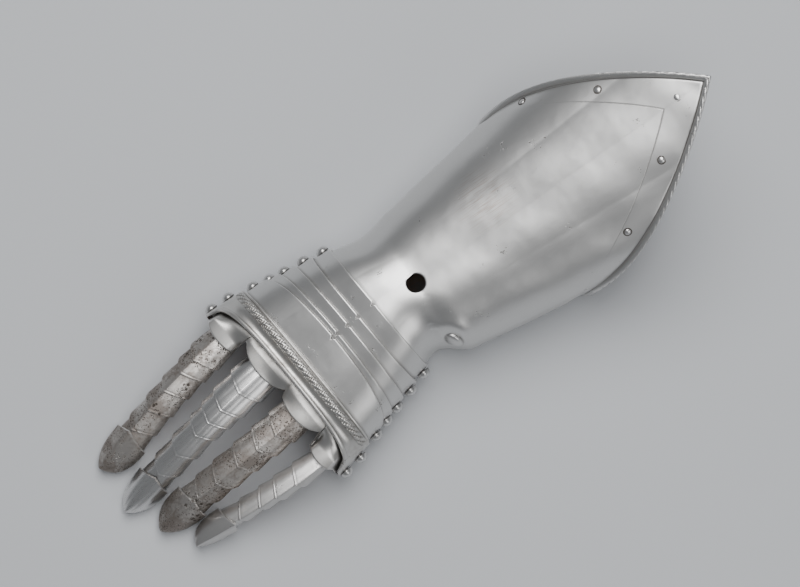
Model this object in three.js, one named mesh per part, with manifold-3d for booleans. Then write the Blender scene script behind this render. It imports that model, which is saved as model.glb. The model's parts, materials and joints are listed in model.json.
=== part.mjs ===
// Steel gauntlet for a left hand, lying palm down: a closed cuff with a pointed flare, four
// metacarpal lames, a wide metacarpal plate, a roped knuckle plate, a lobed finger-base plate and
// four fingers of overlapping scales on leather. Millimetres, +Z up. The forearm lies along +X,
// the fingers point to -X, the index side is +Y, and the cuff rests on the plane Z = 0.
import * as THREE from 'three';
import { mergeVertices } from 'three/addons/utils/BufferGeometryUtils.js';
import Module from 'manifold-3d';

const wasm = await Module();
wasm.setup();

// ---- Driving dimensions -----------------------------------------------------------------------

const PLATE_THICKNESS = 1.2; // cuff and hand plates
const CUFF_THICKNESS = 1.6; // the cuff, whose border is sunk by half of it
const SCALE_THICKNESS = 1.0; // finger plates
const LAP_GAP = 0.5; // clear space between two lapped hand plates
const SCALE_GAP = 0.45; // clear space between two lapped finger plates
const LAME_TILT = 0.2; // drop of a lame per millimetre towards the fingers
const NECK_TILT = 0.26; // the same for the wrist end of the cuff
const WIDE_PLATE_TILT = 0.1; // the same for the wide metacarpal plate
const SCALE_TILT = 0.13; // rise of a finger scale per millimetre towards the fingertip

// The hand is turned a little to the little-finger side of the forearm.
const WRIST_POINT = { x: -18, y: 3.3 };
const HAND_TURN = THREE.MathUtils.degToRad(5.8);

const PIVOT_HEIGHT = 16; // height of every side rivet above the plane it rests on
const HAND_SIDE_ANGLE = 108; // how far round the hand plates reach from the crest, degrees
const FLOOR = 0;
const BELOW_FLOOR = 1.6; // the round section would reach this far below; it is flattened at FLOOR

const CUFF = {
  wristHalfWidth: 36.2,
  flare: 0.158,
  crestAtWrist: 51.6,
  crestRise: 0.165,
  crestCurve: 0.00037,
  waistAtWrist: 16.5,
  waistRise: 0.17,
  wristEnd: -28.5,
  underEnd: -12,
  tip: 161.5,
  sideReach: 71,
  underReach: 60,
  crestRidge: 2.6,
};
// The sunken border along the rim, longest at the tip. It narrows with the angle, faster on the
// index side, and again beyond belowAngle on the little-finger side.
const BORDER = {
  tipLength: 26,
  shortest: 11,
  indexNarrowing: 0.18,
  littleNarrowing: 0.05,
  belowAngle: 60,
  belowNarrowing: 0.2,
  depth: 0.8,
  rollWidth: 4,
  rollHeight: 1.7,
};
const WRIST_HOLE = { x: 0, y: 0, radius: 4.0 };
const ULNA_BOSS = { x: 0.4, angle: -66, long: 6.4, wide: 3.7, high: 3.0, sink: 0.6 };
const BORDER_RIVETS = [
  { angle: -118, inset: 8 },
  { angle: -82, inset: 12 },
  { angle: -44, inset: 18 },
  { angle: -18, inset: 17 },
  { angle: 1, inset: 16.5 },
  { angle: 27, inset: 12 },
  { angle: 59, inset: 9 },
  { angle: 88, inset: 8 },
  { angle: 118, inset: 8 },
];
const BORDER_RIVET = { radius: 2.1, height: 0.9 };

// Hand plates, from the wrist to the knuckles. reach is measured from the wrist towards the
// fingers at the crest, bow moves the exposed edge at the side rivets, hidden is the length that
// lies under the next plate at the crest, and rivet is the reach of the pivot at the exposed edge.
const HAND_PLATES = [
  { name: 'lame_1', reach: 3.2, bow: -3.0, hidden: 7.0, rivet: 4.1 },
  { name: 'lame_2', reach: 12.4, bow: -3.4, hidden: 7.0, rivet: 14.0 },
  { name: 'lame_3', reach: 18.5, bow: 0.4, hidden: 7.0, rivet: 24.0 },
  { name: 'lame_4', reach: 24.6, bow: 3.0, hidden: 7.0, rivet: 31.8 },
  { name: 'metacarpal_plate', reach: 27.4, bow: 8.2, hidden: 5.6, rivet: 39.8 },
  { name: 'knuckle_plate', reach: 43.4, bow: 1.2, hidden: 0, rivet: 51.9 },
];
const FINGER_BASE = { name: 'finger_base_plate', top: 51.2, rivet: 61.3 };
const RIVET_MARGIN = 3.9; // plate left beyond the centre of a side rivet
const KNUCKLE = { rope: 47.6, ropeRadius: 2.1, ropeHeight: 1.9, edge: 55.2, edgeBow: 5.2 };
const KNUCKLE_ROPE_ANGLE = 66; // the rope ends this far round from the crest

const RIVET = {
  shank: 1.5, hole: 1.9, head: 3.2, domeHeight: 2.9, tail: 2.4, tailHeight: 0.8, gap: 0.35,
};
const PIVOT_DRILL_LENGTH = 140; // longer than the hand is wide

// Fingers. Reaches are measured from the wrist as above. edges holds the reach of the crest of
// each lapped edge, across is the position of the finger at the given reach, and roll turns the
// finger about its own length, positive to the index side.
const FINGERS = [
  {
    name: 'index', rootReach: 62, rootAcross: 34.2, tipReach: 148, tipAcross: 24.0, lobeReach: 69.3,
    edges: [83.4, 91.9, 103.1, 114.4, 126.1], tipEdge: 126.2, half: 9.9, tipHalf: 8.6, roll: 15,
    tipHeight: 5.8,
  },
  {
    name: 'middle', rootReach: 60, rootAcross: 10.4, tipReach: 152, tipAcross: 3.6, lobeReach: 64.6,
    edges: [77.6, 89.2, 97.5, 105.8, 118.3, 130.3], tipEdge: 131.1, half: 11.3, tipHalf: 7.4, roll: -4,
    tipHeight: 5.4,
  },
  {
    name: 'ring', rootReach: 60, rootAcross: -15.2, tipReach: 144.4, tipAcross: -12.6, lobeReach: 65.2,
    edges: [76.9, 87.8, 99.5, 112.1, 123.1], tipEdge: 123.6, half: 10.3, tipHalf: 7.6, roll: -12,
    tipHeight: 5.8,
  },
  {
    name: 'little', rootReach: 62, rootAcross: -37.6, tipReach: 136, tipAcross: -26.4, lobeReach: 69.4,
    edges: [84.0, 95.0, 103.6, 114.2], tipEdge: 115.6, half: 7.4, tipHalf: 6.0, roll: -30,
    tipHeight: 8.0,
  },
];
const SCALE_SIDE_ANGLE = 80; // how far round a finger scale reaches from its crest, degrees
const SCALE_DEPTH = 8.6; // height of the crest over the lower edges of a scale
const SCALE_VEE = 4.0; // how far the crest of an edge runs ahead of its ends
const TIP_VEE = 5.4; // the same, backwards, on the plate of the fingertip
const SCALE_LAP = 4.6; // hidden length of a scale
const FINGER_CREST = 0.7; // height of the sharp crest along a finger
const FINGER_START_SLOPE = Math.tan(THREE.MathUtils.degToRad(8));
const ROLL_DEPTH = 8; // the roll turns about a line this far below the crest
const LOBE_CREASES = [26.2, -4.6, -29.0]; // positions across of the creases between two lobes
const LOBE_START = 56; // reach where the lobes begin to rise

const STRAP = { thickness: 1.6, gap: 0.4, sideAngle: 62, shownAngle: 104 };

const FINISHES = {
  steel: { color: 0x9a9a98, roughness: 0.42, metalness: 1 },
  darkSteel: { color: 0x77726c, roughness: 0.55, metalness: 1 },
  cleanSteel: { color: 0xa8a8a6, roughness: 0.35, metalness: 1 },
  rivet: { color: 0xb4b0a8, roughness: 0.35, metalness: 1 },
  leather: { color: 0x9c6236, roughness: 0.8, metalness: 0 },
};
const FINGER_FINISHES = {
  index: FINISHES.darkSteel,
  middle: FINISHES.cleanSteel,
  ring: FINISHES.darkSteel,
  little: FINISHES.steel,
};

// ---- Helpers ----------------------------------------------------------------------------------

const rad = THREE.MathUtils.degToRad;
const lerp = THREE.MathUtils.lerp;
const smoothstep = THREE.MathUtils.smoothstep;

function namedMesh(name, geometry, finish) {
  const mesh = new THREE.Mesh(geometry, new THREE.MeshStandardMaterial(finish));
  mesh.name = name;
  return mesh;
}

// Position-only copy of a geometry, with its shared corners merged.
function bare(geometry) {
  const copy = geometry.clone();
  copy.deleteAttribute('normal');
  copy.deleteAttribute('uv');
  return mergeVertices(copy, 1e-4);
}

function toSolid(geometry) {
  const merged = bare(geometry);
  return new wasm.Manifold(new wasm.Mesh({
    numProp: 3,
    vertProperties: new Float32Array(merged.attributes.position.array),
    triVerts: new Uint32Array(merged.index.array),
  }));
}

function toGeometry(solid) {
  const mesh = solid.getMesh();
  const geometry = new THREE.BufferGeometry();
  geometry.setAttribute('position', new THREE.BufferAttribute(new Float32Array(mesh.vertProperties), 3));
  geometry.setIndex(new THREE.BufferAttribute(new Uint32Array(mesh.triVerts), 1));
  return geometry;
}

function signedVolume(points, index) {
  const cross = new THREE.Vector3();
  let total = 0;
  for (let i = 0; i < index.length; i += 3) {
    cross.crossVectors(points[index[i + 1]], points[index[i + 2]]);
    total += points[index[i]].dot(cross);
  }
  return total;
}

// A closed plate. place(column, row, layer) gives a point of its outer (layer 0) or inner
// (layer 1) face. A ring plate joins its last column to its first.
function plateGeometry(columns, rows, place, ring = false) {
  const across = ring ? columns : columns + 1;
  const points = [];
  for (let layer = 0; layer < 2; layer += 1) {
    for (let row = 0; row <= rows; row += 1) {
      for (let column = 0; column < across; column += 1) {
        points.push(place(column, row, layer));
      }
    }
  }
  const at = (column, row, layer) => (layer * (rows + 1) + row) * across + (column % across);
  const index = [];
  const quad = (a, b, c, d) => index.push(a, b, c, a, c, d);
  for (let column = 0; column < columns; column += 1) {
    for (let row = 0; row < rows; row += 1) {
      quad(at(column, row, 0), at(column + 1, row, 0), at(column + 1, row + 1, 0), at(column, row + 1, 0));
      quad(at(column, row, 1), at(column, row + 1, 1), at(column + 1, row + 1, 1), at(column + 1, row, 1));
    }
    quad(at(column + 1, 0, 0), at(column, 0, 0), at(column, 0, 1), at(column + 1, 0, 1));
    quad(at(column, rows, 0), at(column + 1, rows, 0), at(column + 1, rows, 1), at(column, rows, 1));
  }
  if (!ring) {
    for (let row = 0; row < rows; row += 1) {
      quad(at(0, row, 0), at(0, row + 1, 0), at(0, row + 1, 1), at(0, row, 1));
      quad(at(columns, row + 1, 0), at(columns, row, 0), at(columns, row, 1), at(columns, row + 1, 1));
    }
  }
  if (signedVolume(points, index) < 0) {
    index.reverse();
  }
  const geometry = new THREE.BufferGeometry().setFromPoints(points);
  geometry.setIndex(index);
  return geometry;
}

// Round a cross-section: angle 0 is the crest, +90 the index side, 180 underneath. Above the
// waist it is a superellipse of the given power, below it a squarer one.
function sectionCurve(section, angle) {
  const turn = rad(angle);
  const upper = Math.abs(angle) <= 90;
  const power = 2 / (upper ? section.power : 3);
  const across = Math.sign(Math.sin(turn)) * Math.abs(Math.sin(turn)) ** power;
  const up = Math.abs(Math.cos(turn)) ** power;
  const height = upper ? section.crest - section.waist : -(section.waist + BELOW_FLOOR);
  return { y: section.half * across, z: section.waist + height * up };
}

// The same, moved out by offset along the section's own normal, with a sharp crest.
function sectionPoint(section, angle, offset) {
  const step = 0.5;
  const here = sectionCurve(section, angle);
  const before = sectionCurve(section, angle - step);
  const after = sectionCurve(section, angle + step);
  const length = Math.hypot(after.y - before.y, after.z - before.z);
  const ridge = section.ridge * Math.max(0, 1 - Math.abs(angle) / 24);
  return {
    y: here.y - (offset * (after.z - before.z)) / length,
    z: here.z + (offset * (after.y - before.y)) / length + ridge,
  };
}

// ---- Hand surface -----------------------------------------------------------------------------

// Cross-section of the back of the hand at a reach from the wrist, before the plates' own lifts.
function handSection(reach) {
  return {
    half: 33.9 + 0.3 * reach - 0.0016 * reach * reach,
    crest: 50.3 - 0.1 * reach - 0.0009 * reach * reach,
    waist: PIVOT_HEIGHT,
    power: 2.15 + 0.006 * reach,
    ridge: 0.8,
  };
}

function handPoint(reach, angle, offset) {
  const point = sectionPoint(handSection(reach), angle, offset);
  return new THREE.Vector3(-reach, point.y, point.z);
}

// How far the exposed edge of a plate has moved from the crest to this angle, 0 to 1.
function bowShare(angle) {
  return Math.min(1, Math.abs(angle) / 90) ** 2;
}

function edgeReach(plate, angle) {
  return plate.reach + plate.bow * bowShare(angle);
}

function tiltOf(plateNumber) {
  if (plateNumber < 4) {
    return LAME_TILT;
  }
  return plateNumber === 4 ? WIDE_PLATE_TILT : 0;
}

// Lift of a plate over the hand surface at its exposed edge. Plate -1 is the cuff.
function edgeLift(plateNumber, angle) {
  let lift = 0;
  let last = { reach: HAND_PLATES[0].reach, bow: HAND_PLATES[0].bow };
  for (let number = 0; number <= plateNumber; number += 1) {
    const tilt = number === 0 ? LAME_TILT : tiltOf(number - 1);
    const run = edgeReach(HAND_PLATES[number], angle) - edgeReach(last, angle);
    lift += PLATE_THICKNESS + LAP_GAP - tilt * run;
    last = HAND_PLATES[number];
  }
  return lift;
}

function plateLift(plateNumber, angle, reach) {
  const run = reach - edgeReach(HAND_PLATES[plateNumber], angle);
  return edgeLift(plateNumber, angle) - tiltOf(plateNumber) * run;
}

// Reach of the hidden end of a plate: past the next edge at the crest, past the rivet at the side.
function hiddenEnd(plateNumber, angle) {
  const next = HAND_PLATES[plateNumber + 1];
  const atCrest = next.reach + HAND_PLATES[plateNumber].hidden;
  const atSide = next.rivet + RIVET_MARGIN;
  return lerp(atCrest, atSide, bowShare(angle));
}

function pivotDrill() {
  return new THREE.CylinderGeometry(RIVET.hole, RIVET.hole, PIVOT_DRILL_LENGTH, 12);
}

// Holes for the side rivets at the given reaches, cut through a plate on both sides.
function drilled(geometry, reaches) {
  let solid = toSolid(geometry);
  for (const reach of reaches) {
    const drill = pivotDrill();
    drill.translate(-reach, 0, PIVOT_HEIGHT);
    solid = solid.subtract(toSolid(drill));
  }
  return toGeometry(solid);
}

const COLUMN_ANGLES = [
  -HAND_SIDE_ANGLE, -98, -87, -76, -64, -51, -38, -25, -12,
  0, 12, 25, 38, 51, 64, 76, 87, 98, HAND_SIDE_ANGLE,
];

function lame(plateNumber) {
  const plate = HAND_PLATES[plateNumber];
  const rows = plateNumber === 4 ? 3 : 1;
  const geometry = plateGeometry(COLUMN_ANGLES.length - 1, rows, (column, row, layer) => {
    const angle = COLUMN_ANGLES[column];
    const reach = lerp(edgeReach(plate, angle), hiddenEnd(plateNumber, angle), row / rows);
    return handPoint(reach, angle, plateLift(plateNumber, angle, reach) - layer * PLATE_THICKNESS);
  });
  const holes = [plate.rivet, HAND_PLATES[plateNumber + 1].rivet];
  return namedMesh(plate.name, drilled(geometry, holes), FINISHES.steel);
}

// ---- Knuckle plate ----------------------------------------------------------------------------

// Height of the roped rib over the plate at a reach, and of the turned edge beyond it.
function knuckleRelief(reach, angle, end) {
  const fade = 1 - smoothstep(Math.abs(angle), KNUCKLE_ROPE_ANGLE, KNUCKLE_ROPE_ANGLE + 9);
  const fromRope = (reach - KNUCKLE.rope) / KNUCKLE.ropeRadius;
  const rib = KNUCKLE.ropeHeight * Math.sqrt(Math.max(0, 1 - fromRope * fromRope));
  const beyond = reach - KNUCKLE.rope - KNUCKLE.ropeRadius;
  const hollow = beyond > 0 ? -0.5 * Math.sin(Math.PI * Math.min(1, beyond / (end - KNUCKLE.rope))) : 0;
  return fade * (rib + hollow);
}

function knuckleEnd(angle) {
  const side = smoothstep(Math.abs(angle), 66, 80);
  const crown = KNUCKLE.edge + KNUCKLE.edgeBow * (Math.abs(angle) / 72) ** 3;
  return lerp(Math.min(crown, KNUCKLE.edge + KNUCKLE.edgeBow), FINGER_BASE.rivet + RIVET_MARGIN, side);
}

function knucklePlate() {
  const number = HAND_PLATES.length - 1;
  const plate = HAND_PLATES[number];
  const ropeSteps = [-1.01, -0.8, -0.35, 0.35, 0.8, 1.01]; // in rope radii from its middle
  const ropeRows = ropeSteps.map((step) => KNUCKLE.rope + step * KNUCKLE.ropeRadius);
  const rows = ropeRows.length + 3;
  const reachOf = (row, angle) => {
    if (row === 0) {
      return edgeReach(plate, angle);
    }
    if (row <= ropeRows.length) {
      return ropeRows[row - 1];
    }
    return lerp(ropeRows.at(-1), knuckleEnd(angle), (row - ropeRows.length) / 3);
  };
  const geometry = plateGeometry(COLUMN_ANGLES.length - 1, rows, (column, row, layer) => {
    const angle = COLUMN_ANGLES[column];
    const reach = reachOf(row, angle);
    const relief = knuckleRelief(reach, angle, knuckleEnd(angle));
    const lift = edgeLift(number, angle) + relief * (layer === 0 || relief < 0 ? 1 : 0);
    return handPoint(reach, angle, lift - layer * PLATE_THICKNESS);
  });
  return namedMesh(plate.name, drilled(geometry, [plate.rivet, FINGER_BASE.rivet]), FINISHES.steel);
}

// ---- Fingers ----------------------------------------------------------------------------------

function share(finger, reach) {
  return (reach - finger.rootReach) / (finger.tipReach - finger.rootReach);
}

// Position across the hand of the middle of a finger, which bends in towards its tip.
function acrossAt(finger, reach) {
  return lerp(finger.rootAcross, finger.tipAcross, Math.max(0, share(finger, reach)) ** 1.5);
}

// Height of the crest line of a finger. It leaves the hand at a small slope and bends down.
function crestHeight(finger, reach) {
  const run = reach - finger.rootReach;
  const length = finger.tipReach - finger.rootReach;
  const bend = (finger.rootHeight - finger.tipHeight - length * FINGER_START_SLOPE) / (length * length);
  return finger.rootHeight - run * FINGER_START_SLOPE - bend * run * run;
}

function fingerCentre(finger, reach) {
  return new THREE.Vector3(-reach, acrossAt(finger, reach), crestHeight(finger, reach));
}

// A point of a finger's gutter at a reach, an angle from its crest and an offset outwards.
function fingerPoint(finger, reach, angle, offset, width = 1, depth = 1) {
  const centre = fingerCentre(finger, reach);
  const along = fingerCentre(finger, reach + 0.5).sub(fingerCentre(finger, reach - 0.5)).normalize();
  const side = new THREE.Vector3(0, 0, 1).cross(along).normalize().negate();
  const up = new THREE.Vector3().crossVectors(side, along).normalize();
  if (up.z < 0) {
    up.negate();
  }
  const turn = rad(angle);
  const limit = rad(SCALE_SIDE_ANGLE);
  const half = width * lerp(finger.half, finger.tipHalf, share(finger, reach));
  const across = (half * Math.sin(turn)) / Math.sin(limit) + offset * Math.sin(turn);
  const drop = (depth * SCALE_DEPTH * (1 - Math.cos(turn))) / (1 - Math.cos(limit));
  const crest = FINGER_CREST * Math.max(0, 1 - Math.abs(angle) / 20);
  const high = ROLL_DEPTH - drop + offset * Math.cos(turn) + crest;
  const roll = rad(finger.roll);
  return centre
    .addScaledVector(up, -ROLL_DEPTH + high * Math.cos(roll) - across * Math.sin(roll))
    .addScaledVector(side, across * Math.cos(roll) + high * Math.sin(roll));
}

// Lifts of the scales at their exposed ends, so that each clears the one that it slides under.
function scaleLifts(finger) {
  const ends = [...finger.edges, finger.tipEdge + TIP_VEE + SCALE_LAP];
  const lifts = [];
  let lift = 0;
  let last = finger.lobeReach;
  ends.forEach((end, number) => {
    if (number > 0) {
      lift += SCALE_TILT * (end - last) - SCALE_THICKNESS - SCALE_GAP;
    }
    lifts.push(lift);
    last = end;
  });
  return { ends, lifts };
}

function scale(finger, number) {
  const { ends, lifts } = scaleLifts(finger);
  const start = (number === 0 ? finger.lobeReach - 1.5 : ends[number - 1]) - SCALE_LAP;
  const columns = 8;
  const rows = 1;
  const isLast = number === ends.length - 1;
  const vee = (angle) => (SCALE_VEE * Math.abs(angle)) / SCALE_SIDE_ANGLE;
  const geometry = plateGeometry(columns, rows, (column, row, layer) => {
    const angle = lerp(-SCALE_SIDE_ANGLE, SCALE_SIDE_ANGLE, column / columns);
    const end = ends[number] - (isLast ? 0.6 : 1) * vee(angle);
    const reach = lerp(end, start - vee(angle), row / rows);
    const lift = lifts[number] - SCALE_TILT * (ends[number] - reach - vee(angle));
    return fingerPoint(finger, reach, angle, lift - layer * SCALE_THICKNESS);
  });
  return namedMesh(`${finger.name}_plate_${number + 1}`, geometry, FINGER_FINISHES[finger.name]);
}

// The fingertip plate laps over the last scale and closes down to a blunt point.
function tipPlate(finger) {
  const { lifts } = scaleLifts(finger);
  const lift = lifts.at(-1) + SCALE_THICKNESS + SCALE_GAP;
  const columns = 8;
  const rows = 5;
  const geometry = plateGeometry(columns, rows, (column, row, layer) => {
    const along = Math.sin((Math.PI / 2) * (row / rows));
    const angle = lerp(-SCALE_SIDE_ANGLE, SCALE_SIDE_ANGLE, column / columns);
    const edge = finger.tipEdge + (TIP_VEE * Math.abs(angle)) / SCALE_SIDE_ANGLE;
    const thickness = layer * SCALE_THICKNESS;
    const end = finger.tipReach - thickness;
    const reach = lerp(edge, end, along);
    const narrow = Math.sqrt(1 - 0.93 * along ** 3);
    return fingerPoint(finger, reach, angle, lift - thickness, narrow, lerp(1, 0.52, along ** 2));
  });
  return namedMesh(`${finger.name}_tip_plate`, geometry, FINGER_FINISHES[finger.name]);
}

// The leather that the scales are riveted to, a curved strip under them all.
function strap(finger) {
  const { ends, lifts } = scaleLifts(finger);
  const starts = [finger.lobeReach, ...ends];
  const lengths = ends.map((end, number) => end - starts[number] + SCALE_LAP);
  const lowest = Math.min(...lifts.map((lift, number) => lift - SCALE_TILT * lengths[number]));
  const top = lowest - SCALE_THICKNESS - STRAP.gap;
  const shown = finger.name === 'little';
  const columns = 6;
  const rows = 7;
  const geometry = plateGeometry(columns, rows, (column, row, layer) => {
    const inner = shown ? STRAP.shownAngle : STRAP.sideAngle;
    const angle = lerp(-STRAP.sideAngle, inner, column / columns);
    const reach = lerp(finger.lobeReach - 5, finger.tipReach - 9, row / rows);
    return fingerPoint(finger, reach, angle, top - layer * STRAP.thickness);
  });
  return namedMesh(`${finger.name}_strap`, geometry, FINISHES.leather);
}

// ---- Finger-base plate ------------------------------------------------------------------------

function lobeNumber(across) {
  return LOBE_CREASES.filter((crease) => across < crease).length;
}

// Lift of the finger-base plate over the hand surface where the knuckle plate covers it. Its
// hidden end dips, so that it can slide out from under the knuckle plate as the fingers bend.
function baseLift(angle, reach = FINGER_BASE.rivet) {
  const corner = 0.6 * Math.exp(-(((Math.abs(angle) - 68) / 13) ** 2));
  const dip = 0.16 * Math.max(0, FINGER_BASE.rivet - 3 - reach);
  return edgeLift(HAND_PLATES.length - 1, angle) - PLATE_THICKNESS - LAP_GAP - 0.9 - corner - dip;
}

// Height of the lobed end over a finger at a position across the hand.
function lobeHeight(finger, reach, across) {
  const local = across - acrossAt(finger, reach) + ROLL_DEPTH * Math.sin(rad(-finger.roll));
  const half = finger.half + SCALE_THICKNESS + 2.6;
  const round = Math.sqrt(Math.max(0, 1 - Math.min(1, (local / half) ** 2)));
  const rise = PLATE_THICKNESS + SCALE_GAP + 0.3;
  return crestHeight(finger, reach) + rise - (SCALE_DEPTH - 2.6) * (1 - round)
    - local * Math.sin(rad(finger.roll)) * 0.55;
}

function lobedEnd(finger, across) {
  const fromMiddle = Math.abs(across - acrossAt(finger, finger.lobeReach));
  const local = Math.min(1, fromMiddle / (finger.half + 3.2));
  return finger.lobeReach - 5.2 * local ** 2.4;
}

function basePoint(column, row, rows, layer, columns) {
  const angle = lerp(-HAND_SIDE_ANGLE, HAND_SIDE_ANGLE, column / columns);
  const flank = smoothstep(Math.abs(angle), 66, 80);
  const sideStart = FINGER_BASE.rivet - RIVET_MARGIN + 0.3;
  const start = lerp(FINGER_BASE.top, sideStart, smoothstep(Math.abs(angle), 40, 75));
  const across = handPoint(FINGER_BASE.rivet, angle, baseLift(angle)).y;
  const finger = FINGERS[lobeNumber(across)];
  const end = lerp(lobedEnd(finger, across), FINGER_BASE.rivet + RIVET_MARGIN + 0.6, flank);
  const reach = lerp(start, end, row / rows);
  const point = handPoint(reach, angle, baseLift(angle, reach) - layer * PLATE_THICKNESS);
  const raised = smoothstep(reach, LOBE_START, LOBE_START + 8) * (1 - flank);
  const lobe = lobeHeight(finger, reach, point.y) - layer * PLATE_THICKNESS;
  point.z = lerp(point.z, lobe, raised);
  return point;
}

function fingerBasePlate() {
  const columns = 34;
  const rows = 5;
  const geometry = plateGeometry(columns, rows, (column, row, layer) => (
    basePoint(column, row, rows, layer, columns)
  ));
  return namedMesh(FINGER_BASE.name, drilled(geometry, [FINGER_BASE.rivet]), FINISHES.steel);
}

// ---- Side rivets ------------------------------------------------------------------------------

// A domed rivet with its shank along Y and its head outwards. bottom and top are the inner face
// of the lower plate and the outer face of the upper plate, measured from the hand's middle.
function rivetGeometry(bottom, top) {
  const inner = bottom - RIVET.gap;
  const outer = top + RIVET.gap;
  const profile = [
    new THREE.Vector2(0, inner - RIVET.tailHeight),
    new THREE.Vector2(RIVET.tail, inner - RIVET.tailHeight),
    new THREE.Vector2(RIVET.tail, inner),
    new THREE.Vector2(RIVET.shank, inner),
    new THREE.Vector2(RIVET.shank, outer),
  ];
  for (const lift of [0, 45, 90]) {
    const radius = lift === 90 ? 0 : RIVET.head * Math.cos(rad(lift));
    profile.push(new THREE.Vector2(radius, outer + RIVET.domeHeight * Math.sin(rad(lift))));
  }
  return new THREE.LatheGeometry(profile, 8);
}

// Distance from the hand's middle to a side plate at the height of the rivets.
function wallDistance(number, reach) {
  if (number < 0) {
    const beyond = Math.max(0, reach - edgeReach(HAND_PLATES[0], 90));
    return handSection(reach).half - NECK_TILT * beyond;
  }
  const lift = number < HAND_PLATES.length ? plateLift(number, 90, reach) : baseLift(90);
  return handSection(reach).half + lift;
}

function sideRivets() {
  const joints = [...HAND_PLATES, FINGER_BASE].map((plate, number) => {
    const lower = number === HAND_PLATES.length ? number : number - 1;
    const upper = number === HAND_PLATES.length ? number - 1 : number;
    const thickness = number === 0 ? CUFF_THICKNESS : PLATE_THICKNESS;
    const walls = (plateNumber, radius) => (
      [plate.rivet - radius, plate.rivet + radius].map((reach) => wallDistance(plateNumber, reach))
    );
    return {
      reach: plate.rivet,
      outer: Math.max(...walls(upper, RIVET.head)),
      inner: Math.min(...walls(lower, RIVET.tail)) - thickness,
    };
  });
  const meshes = [];
  joints.forEach((joint, number) => {
    const shape = rivetGeometry(joint.inner, joint.outer);
    for (const [side, turn] of [['index_side', 0], ['little_side', Math.PI]]) {
      const mesh = namedMesh(`pivot_rivet_${side}_${number + 1}`, bare(shape), FINISHES.rivet);
      mesh.position.set(-joint.reach, 0, PIVOT_HEIGHT);
      mesh.rotation.x = turn;
      meshes.push(mesh);
    }
  });
  return meshes;
}

// ---- Cuff -------------------------------------------------------------------------------------

function cuffSection(x) {
  const beyond = Math.max(0, x);
  return {
    half: CUFF.wristHalfWidth + CUFF.flare * x,
    crest: CUFF.crestAtWrist + CUFF.crestRise * beyond + CUFF.crestCurve * beyond * beyond,
    waist: CUFF.waistAtWrist + CUFF.waistRise * beyond,
    power: 2.1,
    ridge: CUFF.crestRidge * smoothstep(x, 4, 110),
  };
}

// Position along the forearm of the flared rim at an angle round the cuff.
function rimX(angle) {
  const round = Math.abs(angle);
  if (round <= 90) {
    return lerp(CUFF.tip, CUFF.sideReach, round / 90) - 6 * Math.sin(rad(2 * round));
  }
  return lerp(CUFF.sideReach, CUFF.underReach, Math.sin(rad(round - 90)));
}

function borderLength(angle) {
  const narrowing = angle > 0 ? BORDER.indexNarrowing * angle : -BORDER.littleNarrowing * angle;
  const below = BORDER.belowNarrowing * Math.max(0, -angle - BORDER.belowAngle);
  return Math.max(BORDER.shortest, BORDER.tipLength - narrowing - below);
}

function wristX(angle) {
  const round = Math.abs(angle);
  if (round <= 90) {
    return CUFF.wristEnd;
  }
  return lerp(CUFF.wristEnd, CUFF.underEnd, smoothstep(round, 96, 140));
}

// The wrist end follows the hand surface, so that the first lame turns freely over it.
function cuffPoint(x, angle, offset) {
  const section = cuffSection(x);
  const own = sectionPoint(section, angle, offset);
  const point = new THREE.Vector3(x, own.y, own.z);
  const handShare = 1 - smoothstep(x, -17, 8);
  if (handShare > 0) {
    const reach = WRIST_POINT.x - x;
    const edge = edgeReach(HAND_PLATES[0], angle);
    const lift = -NECK_TILT * Math.max(0, reach - edge);
    const onHand = handPoint(reach, angle, lift + offset);
    onHand.applyAxisAngle(new THREE.Vector3(0, 0, 1), HAND_TURN);
    onHand.add(new THREE.Vector3(WRIST_POINT.x, WRIST_POINT.y, 0));
    point.lerp(onHand, handShare);
  }
  point.z = Math.max(point.z, FLOOR - Math.min(0, offset));
  return point;
}

// Lift of the outer face from the border step to the rolled rim, by distance from the rim.
function borderProfile(angle) {
  const length = borderLength(angle);
  return [
    { fromRim: length + 0.5, lift: 0 },
    { fromRim: length - 0.5, lift: -BORDER.depth },
    { fromRim: BORDER.rollWidth + 0.4, lift: -BORDER.depth },
    { fromRim: BORDER.rollWidth - 0.4, lift: 0.5 },
    { fromRim: BORDER.rollWidth * 0.6, lift: BORDER.rollHeight },
    { fromRim: BORDER.rollWidth * 0.2, lift: BORDER.rollHeight * 0.7 },
    { fromRim: 0, lift: -0.2 },
  ];
}

const CUFF_COLUMNS = 32;
const CUFF_ROWS = 6; // rows between the wrist and the border step

// Position of a row of the cuff, closer together where the wrist end follows the hand.
function cuffRowX(row, angle, step) {
  const start = wristX(angle);
  const neck = [start, Math.max(-19.5, start + 3), Math.max(-8, start + 8)];
  if (row < neck.length) {
    return neck[row];
  }
  return lerp(neck.at(-1), step, (row - neck.length + 1) / (CUFF_ROWS - neck.length + 1));
}

function cuffShell() {
  const rows = CUFF_ROWS + borderProfile(0).length - 1;
  return plateGeometry(CUFF_COLUMNS, rows, (column, row, layer) => {
    const angle = lerp(-180, 180, column / CUFF_COLUMNS);
    const border = borderProfile(angle);
    const rim = rimX(angle);
    const step = rim - border[0].fromRim;
    const along = row <= CUFF_ROWS
      ? { x: cuffRowX(row, angle, step), lift: 0 }
      : { x: rim - border[row - CUFF_ROWS].fromRim, lift: border[row - CUFF_ROWS].lift };
    const lift = layer === 0 ? along.lift : -CUFF_THICKNESS;
    const under = Math.abs(angle) > 150 ? Math.min(lift, 0) : lift;
    return cuffPoint(along.x, angle, under);
  }, true);
}

function dome(radius, height, sides) {
  const shape = new THREE.SphereGeometry(1, sides, 4);
  shape.rotateX(Math.PI / 2);
  shape.scale(radius, radius, height);
  return shape;
}

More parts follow.
